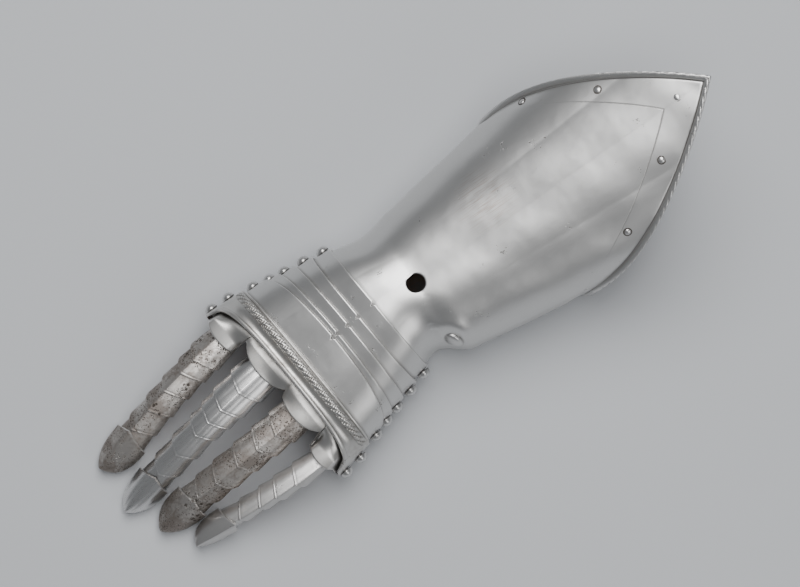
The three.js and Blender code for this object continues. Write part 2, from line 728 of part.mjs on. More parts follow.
// Turn a shape from +Z to the outward normal of the cuff there, and place it on the surface.
function onCuff(shape, x, angle, sink) {
  const here = cuffPoint(x, angle, 0);
  const alongX = cuffPoint(x + 1, angle, 0).sub(cuffPoint(x - 1, angle, 0));
  const round = cuffPoint(x, angle + 1, 0).sub(cuffPoint(x, angle - 1, 0));
  const normal = new THREE.Vector3().crossVectors(alongX, round).normalize();
  const sideways = round.normalize();
  const third = new THREE.Vector3().crossVectors(normal, sideways);
  const frame = new THREE.Matrix4().makeBasis(sideways, third, normal);
  frame.setPosition(here.addScaledVector(normal, -sink));
  return shape.applyMatrix4(frame);
}

function cuff() {
  let solid = toSolid(cuffShell());
  const drill = new THREE.CylinderGeometry(WRIST_HOLE.radius, WRIST_HOLE.radius, 30, 20);
  drill.rotateX(Math.PI / 2);
  drill.translate(WRIST_HOLE.x, WRIST_HOLE.y, CUFF.crestAtWrist);
  solid = solid.subtract(toSolid(drill));
  const wristPivot = pivotDrill();
  wristPivot.translate(-HAND_PLATES[0].rivet, 0, PIVOT_HEIGHT);
  wristPivot.rotateZ(HAND_TURN);
  wristPivot.translate(WRIST_POINT.x, WRIST_POINT.y, 0);
  solid = solid.subtract(toSolid(wristPivot));
  const boss = dome(1, ULNA_BOSS.high, 12);
  boss.scale(ULNA_BOSS.long, ULNA_BOSS.wide, 1);
  const inside = new THREE.BoxGeometry(30, 30, 8);
  inside.translate(0, 0, -4 - CUFF_THICKNESS / 2);
  solid = solid.add(toSolid(onCuff(boss, ULNA_BOSS.x, ULNA_BOSS.angle, ULNA_BOSS.sink)).subtract(
    toSolid(onCuff(inside, ULNA_BOSS.x, ULNA_BOSS.angle, 0)),
  ));
  for (const spot of BORDER_RIVETS) {
    const head = dome(BORDER_RIVET.radius, BORDER_RIVET.height, 6);
    solid = solid.add(toSolid(onCuff(head, rimX(spot.angle) - spot.inset, spot.angle, BORDER.depth)));
  }
  return namedMesh('cuff_plate', toGeometry(solid), FINISHES.steel);
}

// ---- Assembly ---------------------------------------------------------------------------------

// Each finger starts under its lobe, below the finger-base plate.
function rootHeight(finger) {
  const section = handSection(finger.rootReach);
  let best = { miss: Infinity, z: 0 };
  for (let angle = -80; angle <= 80; angle += 0.5) {
    const point = sectionPoint(section, angle, baseLift(angle) - PLATE_THICKNESS - SCALE_GAP - 0.6);
    const miss = Math.abs(point.y - finger.rootAcross);
    if (miss < best.miss) {
      best = { miss, z: point.z };
    }
  }
  return best.z;
}

for (const finger of FINGERS) {
  finger.rootHeight = rootHeight(finger);
}

const gauntlet = new THREE.Group();
gauntlet.add(cuff());

const hand = new THREE.Group();
hand.position.set(WRIST_POINT.x, WRIST_POINT.y, 0);
hand.rotation.z = HAND_TURN;
for (let number = 0; number < HAND_PLATES.length - 1; number += 1) {
  hand.add(lame(number));
}
hand.add(knucklePlate());
hand.add(fingerBasePlate());
for (const finger of FINGERS) {
  for (let number = 0; number <= finger.edges.length; number += 1) {
    hand.add(scale(finger, number));
  }
  hand.add(tipPlate(finger));
  hand.add(strap(finger));
}
hand.add(...sideRivets());
gauntlet.add(hand);

// The origin is the middle of the bounding box, on the plane that the gauntlet rests on.
const bounds = new THREE.Box3().setFromObject(gauntlet, true);
const middle = bounds.getCenter(new THREE.Vector3());
gauntlet.position.set(-middle.x, -middle.y, -bounds.min.z);

export default gauntlet;
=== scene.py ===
"""A steel gauntlet for a left hand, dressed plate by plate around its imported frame.

Sizes are in millimetres and angles in degrees. A reach runs from the wrist towards the
fingertips, an angle runs round a cross-section from its crest, positive to the index side, and
a lift stands off the surface that the plates follow.
"""
import json
import logging
import math
from dataclasses import dataclass
from enum import Enum
from typing import Callable, Iterable, Sequence

import bmesh
import bpy
import numpy as np
from mathutils import Matrix, Vector


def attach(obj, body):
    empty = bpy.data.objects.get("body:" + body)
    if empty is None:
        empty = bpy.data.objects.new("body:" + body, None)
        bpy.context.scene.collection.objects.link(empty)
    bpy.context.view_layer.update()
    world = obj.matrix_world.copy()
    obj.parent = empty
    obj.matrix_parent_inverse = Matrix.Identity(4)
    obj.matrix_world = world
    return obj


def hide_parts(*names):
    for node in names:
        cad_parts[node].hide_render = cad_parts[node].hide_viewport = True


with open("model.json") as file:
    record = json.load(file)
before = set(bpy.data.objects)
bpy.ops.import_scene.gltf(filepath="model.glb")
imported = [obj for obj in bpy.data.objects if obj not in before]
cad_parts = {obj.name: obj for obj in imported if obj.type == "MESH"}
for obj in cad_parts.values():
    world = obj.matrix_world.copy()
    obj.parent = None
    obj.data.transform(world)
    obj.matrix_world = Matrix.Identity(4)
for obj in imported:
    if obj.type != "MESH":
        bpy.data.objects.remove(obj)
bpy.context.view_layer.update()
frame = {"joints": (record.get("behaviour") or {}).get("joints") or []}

LOG = logging.getLogger("gauntlet")
MM = 0.001
Array = np.ndarray
Colour = tuple[float, float, float, float]

FLOOR = 0.0
BELOW_FLOOR = 1.6
LOWER_POWER = 3.0
RIDGE_SPREAD = 24.0
PLATE_THICKNESS = 1.2
CUFF_THICKNESS = 1.6
SCALE_THICKNESS = 1.0
LAP_GAP = 0.5
SCALE_GAP = 0.45
LAME_TILT = 0.2
NECK_TILT = 0.26
WIDE_PLATE_TILT = 0.1
SCALE_TILT = 0.13
PIVOT_HEIGHT = 16.0
HAND_SIDE_ANGLE = 108.0
RIVET_MARGIN = 3.9
NORMAL_STEP = 0.5
PLAIN = 10.0


def smoothstep(value: Array, low: float, high: float) -> Array:
    """Smooth change from 0 at low to 1 at high."""
    share = np.clip((value - low) / (high - low), 0.0, 1.0)
    return share * share * (3.0 - 2.0 * share)


def lerp(start: Array, end: Array, share: Array) -> Array:
    """Straight mix of start and end."""
    return start + (end - start) * share


def bell(distance: Array, width: float) -> Array:
    """Rounded bump of height 1 and the given half width."""
    return np.exp(-((distance / width) ** 2))


def rounded_edge(distance: Array, radius: float) -> Array:
    """How far a rounded plate edge falls below its face at a distance from the edge."""
    inside = np.clip(radius - distance, 0.0, radius)
    return radius - np.sqrt(radius * radius - inside * inside)


def stack(x: Array, y: Array, z: Array) -> Array:
    """Rows of points from three columns of coordinates."""
    return np.stack(np.broadcast_arrays(x, y, z), axis=-1)


# ---- Surfaces ---------------------------------------------------------------------------------


@dataclass(frozen=True)
class Section:
    """A cross-section: a superellipse above the waist and a squarer one below it.

    Each field is one number, or one number for each point asked for.
    """

    half: Array
    crest: Array
    waist: Array
    power: Array
    ridge: Array

    def curve(self, angle: Array) -> tuple[Array, Array]:
        """Sideways and upright place of the bare outline at an angle.

        Args:
            angle: angles round the section.

        Returns:
            The sideways and the upright coordinates.
        """
        turn = np.radians(angle)
        upper = np.abs(angle) <= 90
        power = 2 / np.where(upper, self.power, LOWER_POWER)
        across = np.sign(np.sin(turn)) * np.abs(np.sin(turn)) ** power
        rise = np.abs(np.cos(turn)) ** power
        height = np.where(upper, self.crest - self.waist, -(self.waist + BELOW_FLOOR))
        return self.half * across, self.waist + height * rise

    def point(self, angle: Array, lift: Array) -> tuple[Array, Array]:
        """Sideways and upright place at a lift from the outline, with its sharp crest.

        Args:
            angle: angle round the section.
            lift: distance outwards along the section's own normal.

        Returns:
            The sideways and the upright coordinates.
        """
        y, z = self.curve(angle)
        y_before, z_before = self.curve(angle - NORMAL_STEP)
        y_after, z_after = self.curve(angle + NORMAL_STEP)
        length = np.hypot(y_after - y_before, z_after - z_before)
        ridge = self.ridge * np.maximum(0.0, 1 - np.abs(angle) / RIDGE_SPREAD)
        return (
            y - lift * (z_after - z_before) / length,
            z + lift * (y_after - y_before) / length + ridge,
        )

    def arc(self, angle: Array) -> Array:
        """Length along the outline from the crest to an angle, signed like the angle.

        Args:
            angle: angles round the section.

        Returns:
            The lengths, positive to the index side.
        """
        steps = np.linspace(-180.0, 180.0, 721)
        y, z = self.curve(steps)
        run = np.concatenate([[0.0], np.cumsum(np.hypot(np.diff(y), np.diff(z)))])
        run -= np.interp(0.0, steps, run)
        return np.interp(angle, steps, run)


@dataclass(frozen=True)
class HandPlate:
    """One of the plates over the back of the hand."""

    node: str
    body: str
    reach: float
    bow: float
    hidden: float
    rivet: float
    tilt: float

    def edge(self, angle: Array) -> Array:
        """Reach of the exposed edge at an angle."""
        return self.reach + self.bow * np.minimum(1.0, np.abs(angle) / 90) ** 2


HAND_PLATES = (
    HandPlate("lame_1", "lame_1_body", 3.2, -3.0, 7.0, 4.1, LAME_TILT),
    HandPlate("lame_2", "lame_2_body", 12.4, -3.4, 7.0, 14.0, LAME_TILT),
    HandPlate("lame_3", "lame_3_body", 18.5, 0.4, 7.0, 24.0, LAME_TILT),
    HandPlate("lame_4", "lame_4_body", 24.6, 3.0, 7.0, 31.8, LAME_TILT),
    HandPlate("metacarpal_plate", "metacarpal_body", 27.4, 8.2, 5.6, 39.8, WIDE_PLATE_TILT),
    HandPlate("knuckle_plate", "knuckle_body", 43.4, 1.2, 0.0, 51.9, 0.0),
)
KNUCKLE_NUMBER = len(HAND_PLATES) - 1
FINGER_BASE_RIVET = 61.3


@dataclass(frozen=True)
class HandFrame:
    """Where the hand's own frame lies in the row's frame, read from the first hinge, the wrist's."""

    wrist: Vector
    turn: float

    @classmethod
    def from_joints(cls, joints: Sequence[dict]) -> "HandFrame":
        """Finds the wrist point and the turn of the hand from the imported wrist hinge.

        Args:
            joints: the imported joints, the wrist hinge first.

        Returns:
            The hand's frame.
        """
        axis = joints[0]["axis"]
        turn = math.atan2(axis[0], -axis[1])
        pivot = Vector(joints[0]["pos_m"]) / MM
        reach = HAND_PLATES[0].rivet
        wrist = pivot + Vector((math.cos(turn), math.sin(turn), 0.0)) * reach
        return cls(Vector((wrist.x, wrist.y, 0.0)), turn)

    def to_row(self, points: Array) -> Array:
        """Points of the hand's frame in the row's frame.

        Args:
            points: rows of points.

        Returns:
            The same points in the row's frame.
        """
        c, s = math.cos(self.turn), math.sin(self.turn)
        x = self.wrist.x + c * points[..., 0] - s * points[..., 1]
        y = self.wrist.y + s * points[..., 0] + c * points[..., 1]
        return stack(x, y, points[..., 2])


HAND = HandFrame.from_joints(frame["joints"])


class HandSurface:
    """The surface that the hand plates follow, in the hand's frame."""

    wrist_half, widening, rounding = 33.9, 0.3, 0.0016
    wrist_crest, falling, bending = 50.3, 0.1, 0.0009
    wrist_power, squaring = 2.15, 0.006
    keel = 0.8

    @classmethod
    def section(cls, reach: Array) -> Section:
        """Cross-section of the back of the hand at a reach.

        Args:
            reach: reaches from the wrist.

        Returns:
            The cross-section.
        """
        return Section(
            half=cls.wrist_half + cls.widening * reach - cls.rounding * reach * reach,
            crest=cls.wrist_crest - cls.falling * reach - cls.bending * reach * reach,
            waist=np.float64(PIVOT_HEIGHT),
            power=cls.wrist_power + cls.squaring * reach,
            ridge=np.float64(cls.keel),
        )

    @classmethod
    def point(cls, reach: Array, angle: Array, lift: Array) -> Array:
        """Points at a reach, an angle and a lift."""
        y, z = cls.section(reach).point(angle, lift)
        return stack(-reach, y, z)

    @staticmethod
    def edge_lift(number: int, angle: Array) -> Array:
        """Lift of a plate at its exposed edge.

        Args:
            number: place of the plate in its row, from 0.
            angle: angles round the section.

        Returns:
            The lifts.
        """
        lift = 0.0
        last = HAND_PLATES[0]
        for count in range(number + 1):
            plate = HAND_PLATES[count]
            tilt = last.tilt
            lift = lift + PLATE_THICKNESS + LAP_GAP - tilt * (plate.edge(angle) - last.edge(angle))
            last = plate
        return lift

    @classmethod
    def plate_lift(cls, number: int, angle: Array, reach: Array) -> Array:
        """Lift of a plate at a reach, which falls with the plate's tilt."""
        plate = HAND_PLATES[number]
        return cls.edge_lift(number, angle) - plate.tilt * (reach - plate.edge(angle))

    @classmethod
    def hidden_end(cls, number: int, angle: Array) -> Array:
        """Reach of the end of a plate that lies under the next one.

        Args:
            number: place of the plate in its row, from 0.
            angle: angles round the section.

        Returns:
            The reaches.
        """
        after = HAND_PLATES[number + 1]
        at_crest = after.reach + HAND_PLATES[number].hidden
        share = np.minimum(1.0, np.abs(angle) / 90) ** 2
        return lerp(at_crest, after.rivet + RIVET_MARGIN, share)


# ---- Meshes -----------------------------------------------------------------------------------


@dataclass
class Patch:
    """What a surface gives for each point: its place and what the finishes read.

    edge is the distance to the nearest free edge, or PLAIN where no edge is worn, and the last field
    how much painted shade the point takes, 0 to 1, in cuts, creases, rivet feet and beside lapping
    plate edges. Both are in the piece's attributes of the same names.
    """

    points: Array
    edge: Array
    painted_shade: Array


Surface = Callable[[Array, Array], Patch]
Verts = list[bmesh.types.BMVert]


class PlateMesh:
    """A walled plate grown from one flat grid, whose u and v each run from 0 to 1."""

    def __init__(self, columns: int, rows: int) -> None:
        """Makes the flat grid.

        Args:
            columns: faces along u.
            rows: faces along v.
        """
        self.bm = bmesh.new()
        floats = self.bm.verts.layers.float
        self.layers = {name: floats.new(name) for name in ("u", "v", "edge", "painted_shade")}
        bmesh.ops.create_grid(self.bm, x_segments=columns, y_segments=rows, size=0.5)
        self.note_grid()

    def note_grid(self) -> None:
        """Stores u and v of every point of the flat grid."""
        u, v = self.layers["u"], self.layers["v"]
        for vert in self.bm.verts:
            vert[u] = vert.co.x + 0.5
            vert[v] = vert.co.y + 0.5

    def refine(self, chosen: Callable[[float, float], bool], cuts: int) -> None:
        """Divides the faces whose middle is chosen, and keeps their u and v.

        Args:
            chosen: says whether a place in u and v is to be finer.
            cuts: new points on each edge.
        """
        faces = []
        for face in self.bm.faces:
            middle = face.calc_center_median()
            if chosen(middle.x + 0.5, middle.y + 0.5):
                faces.append(face)
        edges = {edge for face in faces for edge in face.edges}
        bmesh.ops.subdivide_edges(self.bm, edges=list(edges), cuts=cuts, use_grid_fill=True)
        self.note_grid()

    def place(self, verts: Sequence[bmesh.types.BMVert], surface: Surface) -> None:
        """Moves points onto a surface and stores what it says of them.

        Args:
            verts: the points to move.
            surface: says where each point goes.
        """
        u_layer, v_layer = self.layers["u"], self.layers["v"]
        u = np.fromiter((vert[u_layer] for vert in verts), float, len(verts))
        v = np.fromiter((vert[v_layer] for vert in verts), float, len(verts))
        patch = surface(u, v)
        edge = np.broadcast_to(patch.edge, u.shape).tolist()
        painted_shade = np.broadcast_to(patch.painted_shade, u.shape).tolist()
        edge_layer, painted_shade_layer = self.layers["edge"], self.layers["painted_shade"]
        for number, (vert, place) in enumerate(zip(verts, (patch.points * MM).tolist())):
            vert.co = place
            vert[edge_layer] = edge[number]
            vert[painted_shade_layer] = painted_shade[number]

    def weld(self) -> None:
        """Joins points that fell on the same place, such as the two sides of a ring."""
        bmesh.ops.remove_doubles(self.bm, verts=self.bm.verts, dist=1e-6)

    def wall(self, outer: Surface, inner: Surface, ring: bool = False) -> None:
        """Places the outer face, then grows the inner face and the edges between them.

        Args:
            outer: surface of the outer face.
            inner: surface of the inner face.
            ring: whether u runs all the way round.
        """
        self.place(list(self.bm.verts), outer)
        if ring:
            self.weld()
        for face in self.bm.faces:
            face.material_index = 0
        faces = list(self.bm.faces)
        grown = bmesh.ops.extrude_face_region(self.bm, geom=faces, use_keep_orig=True)["geom"]
        verts = [item for item in grown if isinstance(item, bmesh.types.BMVert)]
        self.place(verts, inner)
        for item in grown:
            if isinstance(item, bmesh.types.BMFace):
                item.material_index = 1
        bmesh.ops.recalc_face_normals(self.bm, faces=self.bm.faces)

    def make(self, name: str, sharp: float = 38.0) -> bpy.types.Object:
        """Makes the object.

        Args:
            name: name of the object and its mesh.
            sharp: angle past which an edge is shaded as a hard one.

        Returns:
            The new object, linked to the scene.
        """
        return finish_mesh(self.bm, name, sharp)


def finish_mesh(bm: bmesh.types.BMesh, name: str, sharp: float = 38.0) -> bpy.types.Object:
    """Turns a bmesh into a smooth shaded object at the origin and frees it.

    Args:
        bm: the bmesh that it works on.
        name: name of the object and its mesh.
        sharp: angle past which an edge is shaded as a hard one.

    Returns:
        The new object, linked to the scene.
    """
    for face in bm.faces:
        face.smooth = True
    mesh = bpy.data.meshes.new(name)
    bm.to_mesh(mesh)
    bm.free()
    mesh.set_sharp_from_angle(angle=math.radians(sharp))
    piece = bpy.data.objects.new(name, mesh)
    bpy.context.scene.collection.objects.link(piece)
    return piece


def centred(u: Array, share: float) -> Array:
    """u as -1 to 1, with closer steps in the middle: share is the step there."""
    side = 2 * u - 1
    return side * (share + (1 - share) * side * side)


# ---- Finishes ---------------------------------------------------------------------------------


class Graph:
    """Short words for building a node tree."""

    def __init__(self, tree: bpy.types.NodeTree) -> None:
        """Works on a tree."""
        self.tree = tree

    def add(self, kind: str, **values: object) -> bpy.types.Node:
        """Adds a node and sets its properties, or its inputs by name.

        Args:
            kind: the node's type name.
            values: properties of the node, or inputs with _ for a space.

        Returns:
            The node.
        """
        node = self.tree.nodes.new(kind)
        for key, value in values.items():
            if hasattr(node, key):
                setattr(node, key, value)
            else:
                self.feed(node.inputs[key.replace("_", " ")], value)
        return node

    def feed(self, socket: bpy.types.NodeSocket, value: object) -> None:
        """Links a socket to another one, or sets its value.

        Args:
            socket: the input.
            value: a socket to link, or a plain value.
        """
        if isinstance(value, bpy.types.NodeSocket):
            self.tree.links.new(value, socket)
        else:
            socket.default_value = value

    def math(self, operation: str, *values: object, clamp: bool = False) -> bpy.types.NodeSocket:
        """Result of a Math node.

        Args:
            operation: what the node works out.
            values: its inputs in order.

        Returns:
            Its result.
        """
        node = self.tree.nodes.new("ShaderNodeMath")
        node.operation = operation
        node.use_clamp = clamp
        for socket, value in zip(node.inputs, values):
            self.feed(socket, value)
        return node.outputs[0]

    def step(self, value: object, low: float, high: float) -> bpy.types.NodeSocket:
        """Smooth step of a value from 0 at low to 1 at high.

        Args:
            value: a socket to link, or a plain value.
            low: value that gives 0.
            high: value that gives 1.

        Returns:
            The smooth step, 0 to 1.
        """
        node = self.tree.nodes.new("ShaderNodeMapRange")
        node.interpolation_type = "SMOOTHSTEP"
        self.feed(node.inputs["Value"], value)
        self.feed(node.inputs["From Min"], low)
        self.feed(node.inputs["From Max"], high)
        return node.outputs["Result"]

    def mix(self, share: object, first: object, second: object) -> bpy.types.NodeSocket:
        """Mix of two colours.

        Args:
            share: share of the second colour.
            first: colour at 0.
            second: colour at 1.

        Returns:
            The mixed colour.
        """
        node = self.tree.nodes.new("ShaderNodeMix")
        node.data_type = "RGBA"
        self.feed(node.inputs["Factor"], share)
        self.feed(node.inputs["A"], first)
        self.feed(node.inputs["B"], second)
        sockets = [socket for socket in node.outputs if socket.type == "RGBA"]
        return sockets[0]

    def noise(self, vector: object, scale: object, detail: float = 3.0) -> bpy.types.NodeSocket:
        """Value of a Noise texture.

        Args:
            vector: place of each point.
            scale: size of the pattern, larger for finer.
            detail: number of finer layers.

        Returns:
            The noise, about 0 to 1.
        """
        node = self.tree.nodes.new("ShaderNodeTexNoise")
        self.feed(node.inputs["Vector"], vector)
        self.feed(node.inputs["Scale"], scale)
        node.inputs["Detail"].default_value = detail
        return node.outputs[0]


class Effect:
    """A node group that several finishes share, built once."""

    made: dict[str, bpy.types.NodeTree] = {}

    @classmethod
    def group(
        cls,
        name: str,
        inputs: dict[str, tuple[str, object]],
        outputs: dict[str, str],
        build: Callable[[Graph, bpy.types.Node], dict[str, bpy.types.NodeSocket]],
    ) -> bpy.types.NodeTree:
        """Makes the group, or gives the one already made.

        Args:
            name: name of the group.
            inputs: for each input its socket type and first value.
            outputs: for each output its socket type.
            build: fills the group and gives a socket for each output.

        Returns:
            The group.
        """
        if name in cls.made:
            return cls.made[name]
        tree = bpy.data.node_groups.new(name, "ShaderNodeTree")
        for label, (kind, value) in inputs.items():
            socket = tree.interface.new_socket(label, in_out="INPUT", socket_type=kind)
            if value is not None:
                socket.default_value = value
        for label, kind in outputs.items():
            tree.interface.new_socket(label, in_out="OUTPUT", socket_type=kind)
        graph = Graph(tree)
        entry = tree.nodes.new("NodeGroupInput")
        leave = tree.nodes.new("NodeGroupOutput")
        for label, socket in build(graph, entry).items():
            tree.links.new(socket, leave.inputs[label])
        cls.made[name] = tree
        return tree

    @classmethod
    def pitting(cls) -> bpy.types.NodeTree:
        """Small round pits in drifts: Mask is 1 inside a pit.

        Returns:
            The group.
        """

        def build(graph: Graph, entry: bpy.types.Node) -> dict[str, bpy.types.NodeSocket]:
            """Fills the group.

            Args:
                graph: the tree that it builds in.
                entry: the group's input node.

            Returns:
                A socket for each output of the group.
            """
            vector, scale, cover = (entry.outputs[n] for n in ("Vector", "Scale", "Cover"))
            drift = graph.noise(vector, graph.math("MULTIPLY", scale, 0.09), 3.0)
            low = graph.math("SUBTRACT", 0.78, graph.math("MULTIPLY", cover, 0.5))
            drifts = graph.add("ShaderNodeMapRange", interpolation_type="SMOOTHSTEP", Value=drift)
            graph.feed(drifts.inputs["From Min"], low)
            graph.feed(drifts.inputs["From Max"], graph.math("ADD", low, 0.12))
            jitter = graph.noise(vector, graph.math("MULTIPLY", scale, 1.7), 2.0)
            cells = graph.tree.nodes.new("ShaderNodeTexVoronoi")
            graph.feed(cells.inputs["Vector"], vector)
            graph.feed(cells.inputs["Scale"], scale)
            size = graph.math("MULTIPLY", graph.math("MULTIPLY", drifts.outputs[0], jitter), 0.75)
            near = graph.math("SUBTRACT", size, cells.outputs["Distance"])
            mask = graph.step(near, 0.0, 0.12)
            return {"Mask": mask}

        return cls.group(
            "Pitting",
            {
                "Vector": ("NodeSocketVector", None),
                "Scale": ("NodeSocketFloat", 900.0),
                "Cover": ("NodeSocketFloat", 0.5),
            },
            {"Mask": "NodeSocketFloat"},
            build,
        )

    @classmethod
    def patina(cls) -> bpy.types.NodeTree:
        """Cloudy stains: Mask is the share of stain.

        Returns:
            The group.
        """

        def build(graph: Graph, entry: bpy.types.Node) -> dict[str, bpy.types.NodeSocket]:
            """Fills the group.

            Args:
                graph: the tree that it builds in.
                entry: the group's input node.

            Returns:
                A socket for each output of the group.
            """
            vector, scale, cover = (entry.outputs[n] for n in ("Vector", "Scale", "Cover"))
            broad = graph.noise(vector, scale, 5.0)
            fine = graph.noise(vector, graph.math("MULTIPLY", scale, 7.0), 4.0)
            both = graph.math("ADD", graph.math("MULTIPLY", broad, 0.65), graph.math("MULTIPLY", fine, 0.35))
            low = graph.math("SUBTRACT", 0.75, graph.math("MULTIPLY", cover, 0.5))
            drifts = graph.add("ShaderNodeMapRange", interpolation_type="SMOOTHSTEP", Value=both)
            graph.feed(drifts.inputs["From Min"], low)
            graph.feed(drifts.inputs["From Max"], graph.math("ADD", low, 0.22))
            return {"Mask": drifts.outputs[0]}

        return cls.group(
            "Patina",
            {
                "Vector": ("NodeSocketVector", None),
                "Scale": ("NodeSocketFloat", 60.0),
                "Cover": ("NodeSocketFloat", 0.5),
            },
            {"Mask": "NodeSocketFloat"},
            build,
        )

    @classmethod
    def edge_wear(cls) -> bpy.types.NodeTree:
        """Rubbed metal along free edges, broken up by noise.

        Returns:
            The group.
        """

        def build(graph: Graph, entry: bpy.types.Node) -> dict[str, bpy.types.NodeSocket]:
            """Fills the group.

            Args:
                graph: the tree that it builds in.
                entry: the group's input node.

            Returns:
                A socket for each output of the group.
            """
            vector, distance, width = (entry.outputs[n] for n in ("Vector", "Distance", "Width"))
            ragged = graph.math("MULTIPLY", graph.noise(vector, 420.0, 3.0), 1.3)
            near = graph.math("SUBTRACT", graph.math("MULTIPLY", width, ragged), distance)
            return {"Mask": graph.step(near, 0.0, 0.35)}

        return cls.group(
            "Edge wear",
            {
                "Vector": ("NodeSocketVector", None),
                "Distance": ("NodeSocketFloat", 10.0),
                "Width": ("NodeSocketFloat", 0.8),
            },
            {"Mask": "NodeSocketFloat"},
            build,
        )

    @classmethod
    def brushing(cls) -> bpy.types.NodeTree:
        """Fine polishing marks, long in one direction.

        Returns:
            The group.
        """

        def build(graph: Graph, entry: bpy.types.Node) -> dict[str, bpy.types.NodeSocket]:
            """Fills the group.

            Args:
                graph: the tree that it builds in.
                entry: the group's input node.

            Returns:
                A socket for each output of the group.
            """
            turned = graph.add("ShaderNodeMapping", Vector=entry.outputs["Vector"])
            turned.inputs["Rotation"].default_value = (0.0, 0.0, 0.55)
            turned.inputs["Scale"].default_value = (60.0, 2600.0, 400.0)
            return {"Mask": graph.noise(turned.outputs[0], 1.0, 4.0)}

        return cls.group(
            "Brushing",
            {"Vector": ("NodeSocketVector", None)},
            {"Mask": "NodeSocketFloat"},
            build,
        )


@dataclass(frozen=True)
class SteelFinish:
    """Aged steel: its colours, how much of it is stained and pitted, and how rough it is."""

    name: str
    clean: Colour = (0.60, 0.595, 0.585, 1.0)
    stained: Colour = (0.30, 0.275, 0.25, 1.0)
    # Dark of the real pits; the painted shade in cuts, creases and under lapping edges also goes towards it.
    pit_and_shade_dark: Colour = (0.055, 0.045, 0.038, 1.0)
    worn: Colour = (0.74, 0.73, 0.71, 1.0)
    stain_cover: float = 0.35
    stain_scale: float = 55.0
    pit_cover: float = 0.35
    pit_scale: float = 1100.0
    roughness: float = 0.34
    wear_width: float = 0.7
    rust_streaks: bool = False

    def material(self) -> bpy.types.Material:
        """Builds the material.

        Returns:
            The material.
        """
        material = bpy.data.materials.new(self.name)
        material.use_nodes = True
        graph = Graph(material.node_tree)
        shader = material.node_tree.nodes["Principled BSDF"]
        place = graph.add("ShaderNodeTexCoord").outputs["Object"]
        edge = graph.add("ShaderNodeAttribute", attribute_name="edge").outputs["Fac"]
        painted_shade = graph.add("ShaderNodeAttribute", attribute_name="painted_shade").outputs["Fac"]
        pits = self.effect(graph, Effect.pitting(), place, Scale=self.pit_scale, Cover=self.pit_cover)
        specks = self.effect(
            graph, Effect.pitting(), place, Scale=self.pit_scale * 0.36, Cover=self.pit_cover * 0.72
        )
        patina = self.effect(
            graph, Effect.patina(), place, Scale=self.stain_scale, Cover=self.stain_cover
        )
        wear = self.effect(
            graph, Effect.edge_wear(), place, Distance=edge, Width=self.wear_width
        )
        brushing = self.effect(graph, Effect.brushing(), place)
        colour = graph.mix(
            graph.math("MULTIPLY", patina.outputs["Mask"], 0.75), self.clean, self.stained
        )
        streak = graph.math("MULTIPLY", graph.math("SUBTRACT", brushing.outputs["Mask"], 0.5), 0.22)
        colour = graph.mix(graph.math("ABSOLUTE", streak), colour, self.stained)
        if self.rust_streaks:
            colour = self.streaked(graph, place, brushing.outputs["Mask"], colour)
        colour = graph.mix(graph.math("MULTIPLY", wear.outputs["Mask"], 0.8), colour, self.worn)
        pit_mask = graph.math("MAXIMUM", pits.outputs["Mask"], specks.outputs["Mask"])
        colour = graph.mix(graph.math("MULTIPLY", pit_mask, 0.85), colour, self.pit_and_shade_dark)
        # Painted shade: the per-point shade attribute darkens and roughens cuts, creases, rivet feet and the
        # strip beside each lapping plate edge.
        painted_shade_share = graph.math("MULTIPLY", painted_shade, 0.9, clamp=True)
        colour = graph.mix(painted_shade_share, colour, self.pit_and_shade_dark)
        graph.feed(shader.inputs["Base Color"], colour)
        shader.inputs["Metallic"].default_value = 1.0
        rough = graph.math("MULTIPLY_ADD", patina.outputs["Mask"], 0.14, self.roughness)
        rough = graph.math("ADD", rough, graph.math("MULTIPLY", pit_mask, 0.25))
        rough = graph.math("ADD", rough, graph.math("MULTIPLY", painted_shade_share, 0.25))
        rough = graph.math("ADD", rough, graph.math("MULTIPLY", streak, 0.3))
        graph.feed(shader.inputs["Roughness"], rough)
        hammer = graph.noise(place, 48.0, 2.0)
        height = graph.math("MULTIPLY", hammer, 0.00035)
        height = graph.math("ADD", height, graph.math("MULTIPLY", graph.noise(place, 320.0, 3.0), 0.00002))
        height = graph.math("SUBTRACT", height, graph.math("MULTIPLY", pit_mask, 0.00008))
        height = graph.math(
            "ADD", height, graph.math("MULTIPLY", brushing.outputs["Mask"], 0.0000035)
        )
        bump = graph.add("ShaderNodeBump", Height=height)
        bump.inputs["Strength"].default_value = 1.0
        bump.inputs["Distance"].default_value = 1.0
        graph.feed(shader.inputs["Normal"], bump.outputs[0])
        return material

    @staticmethod
    def effect(
        graph: Graph, tree: bpy.types.NodeTree, place: bpy.types.NodeSocket, **values: object
    ) -> bpy.types.Node:
        """Places a shared effect with its own values.

        Args:
            graph: the tree that it builds in.
            tree: the shared group.
            place: place of each point.
            values: inputs of the group by name.

        Returns:
            The node of the group.
        """
        node = graph.tree.nodes.new("ShaderNodeGroup")
        node.node_tree = tree
        graph.feed(node.inputs["Vector"], place)
        for label, value in values.items():
            graph.feed(node.inputs[label], value)
        return node

    @staticmethod
    def streaked(
        graph: Graph, place: bpy.types.NodeSocket, marks: bpy.types.NodeSocket, colour: object
    ) -> bpy.types.NodeSocket:
        """Adds the brown drag marks on the index flank of the cuff.

        Args:
            graph: the tree that it builds in.
            place: place of each point.
            marks: the polishing marks.
            colour: colour of the steel so far.

        Returns:
            The colour with its marks.
        """
        middle = Vector((52.0, 17.0, 62.0)) * MM
        away = graph.add("ShaderNodeVectorMath", operation="DISTANCE")
        graph.feed(away.inputs[0], place)
        away.inputs[1].default_value = middle
        region = graph.math("SUBTRACT", 1.0, graph.step(away.outputs["Value"], 0.004, 0.021))
        lines = graph.step(marks, 0.46, 0.66)
        share = graph.math("MULTIPLY", graph.math("MULTIPLY", region, lines), 0.55)
        return graph.mix(share, colour, (0.30, 0.19, 0.13, 1.0))


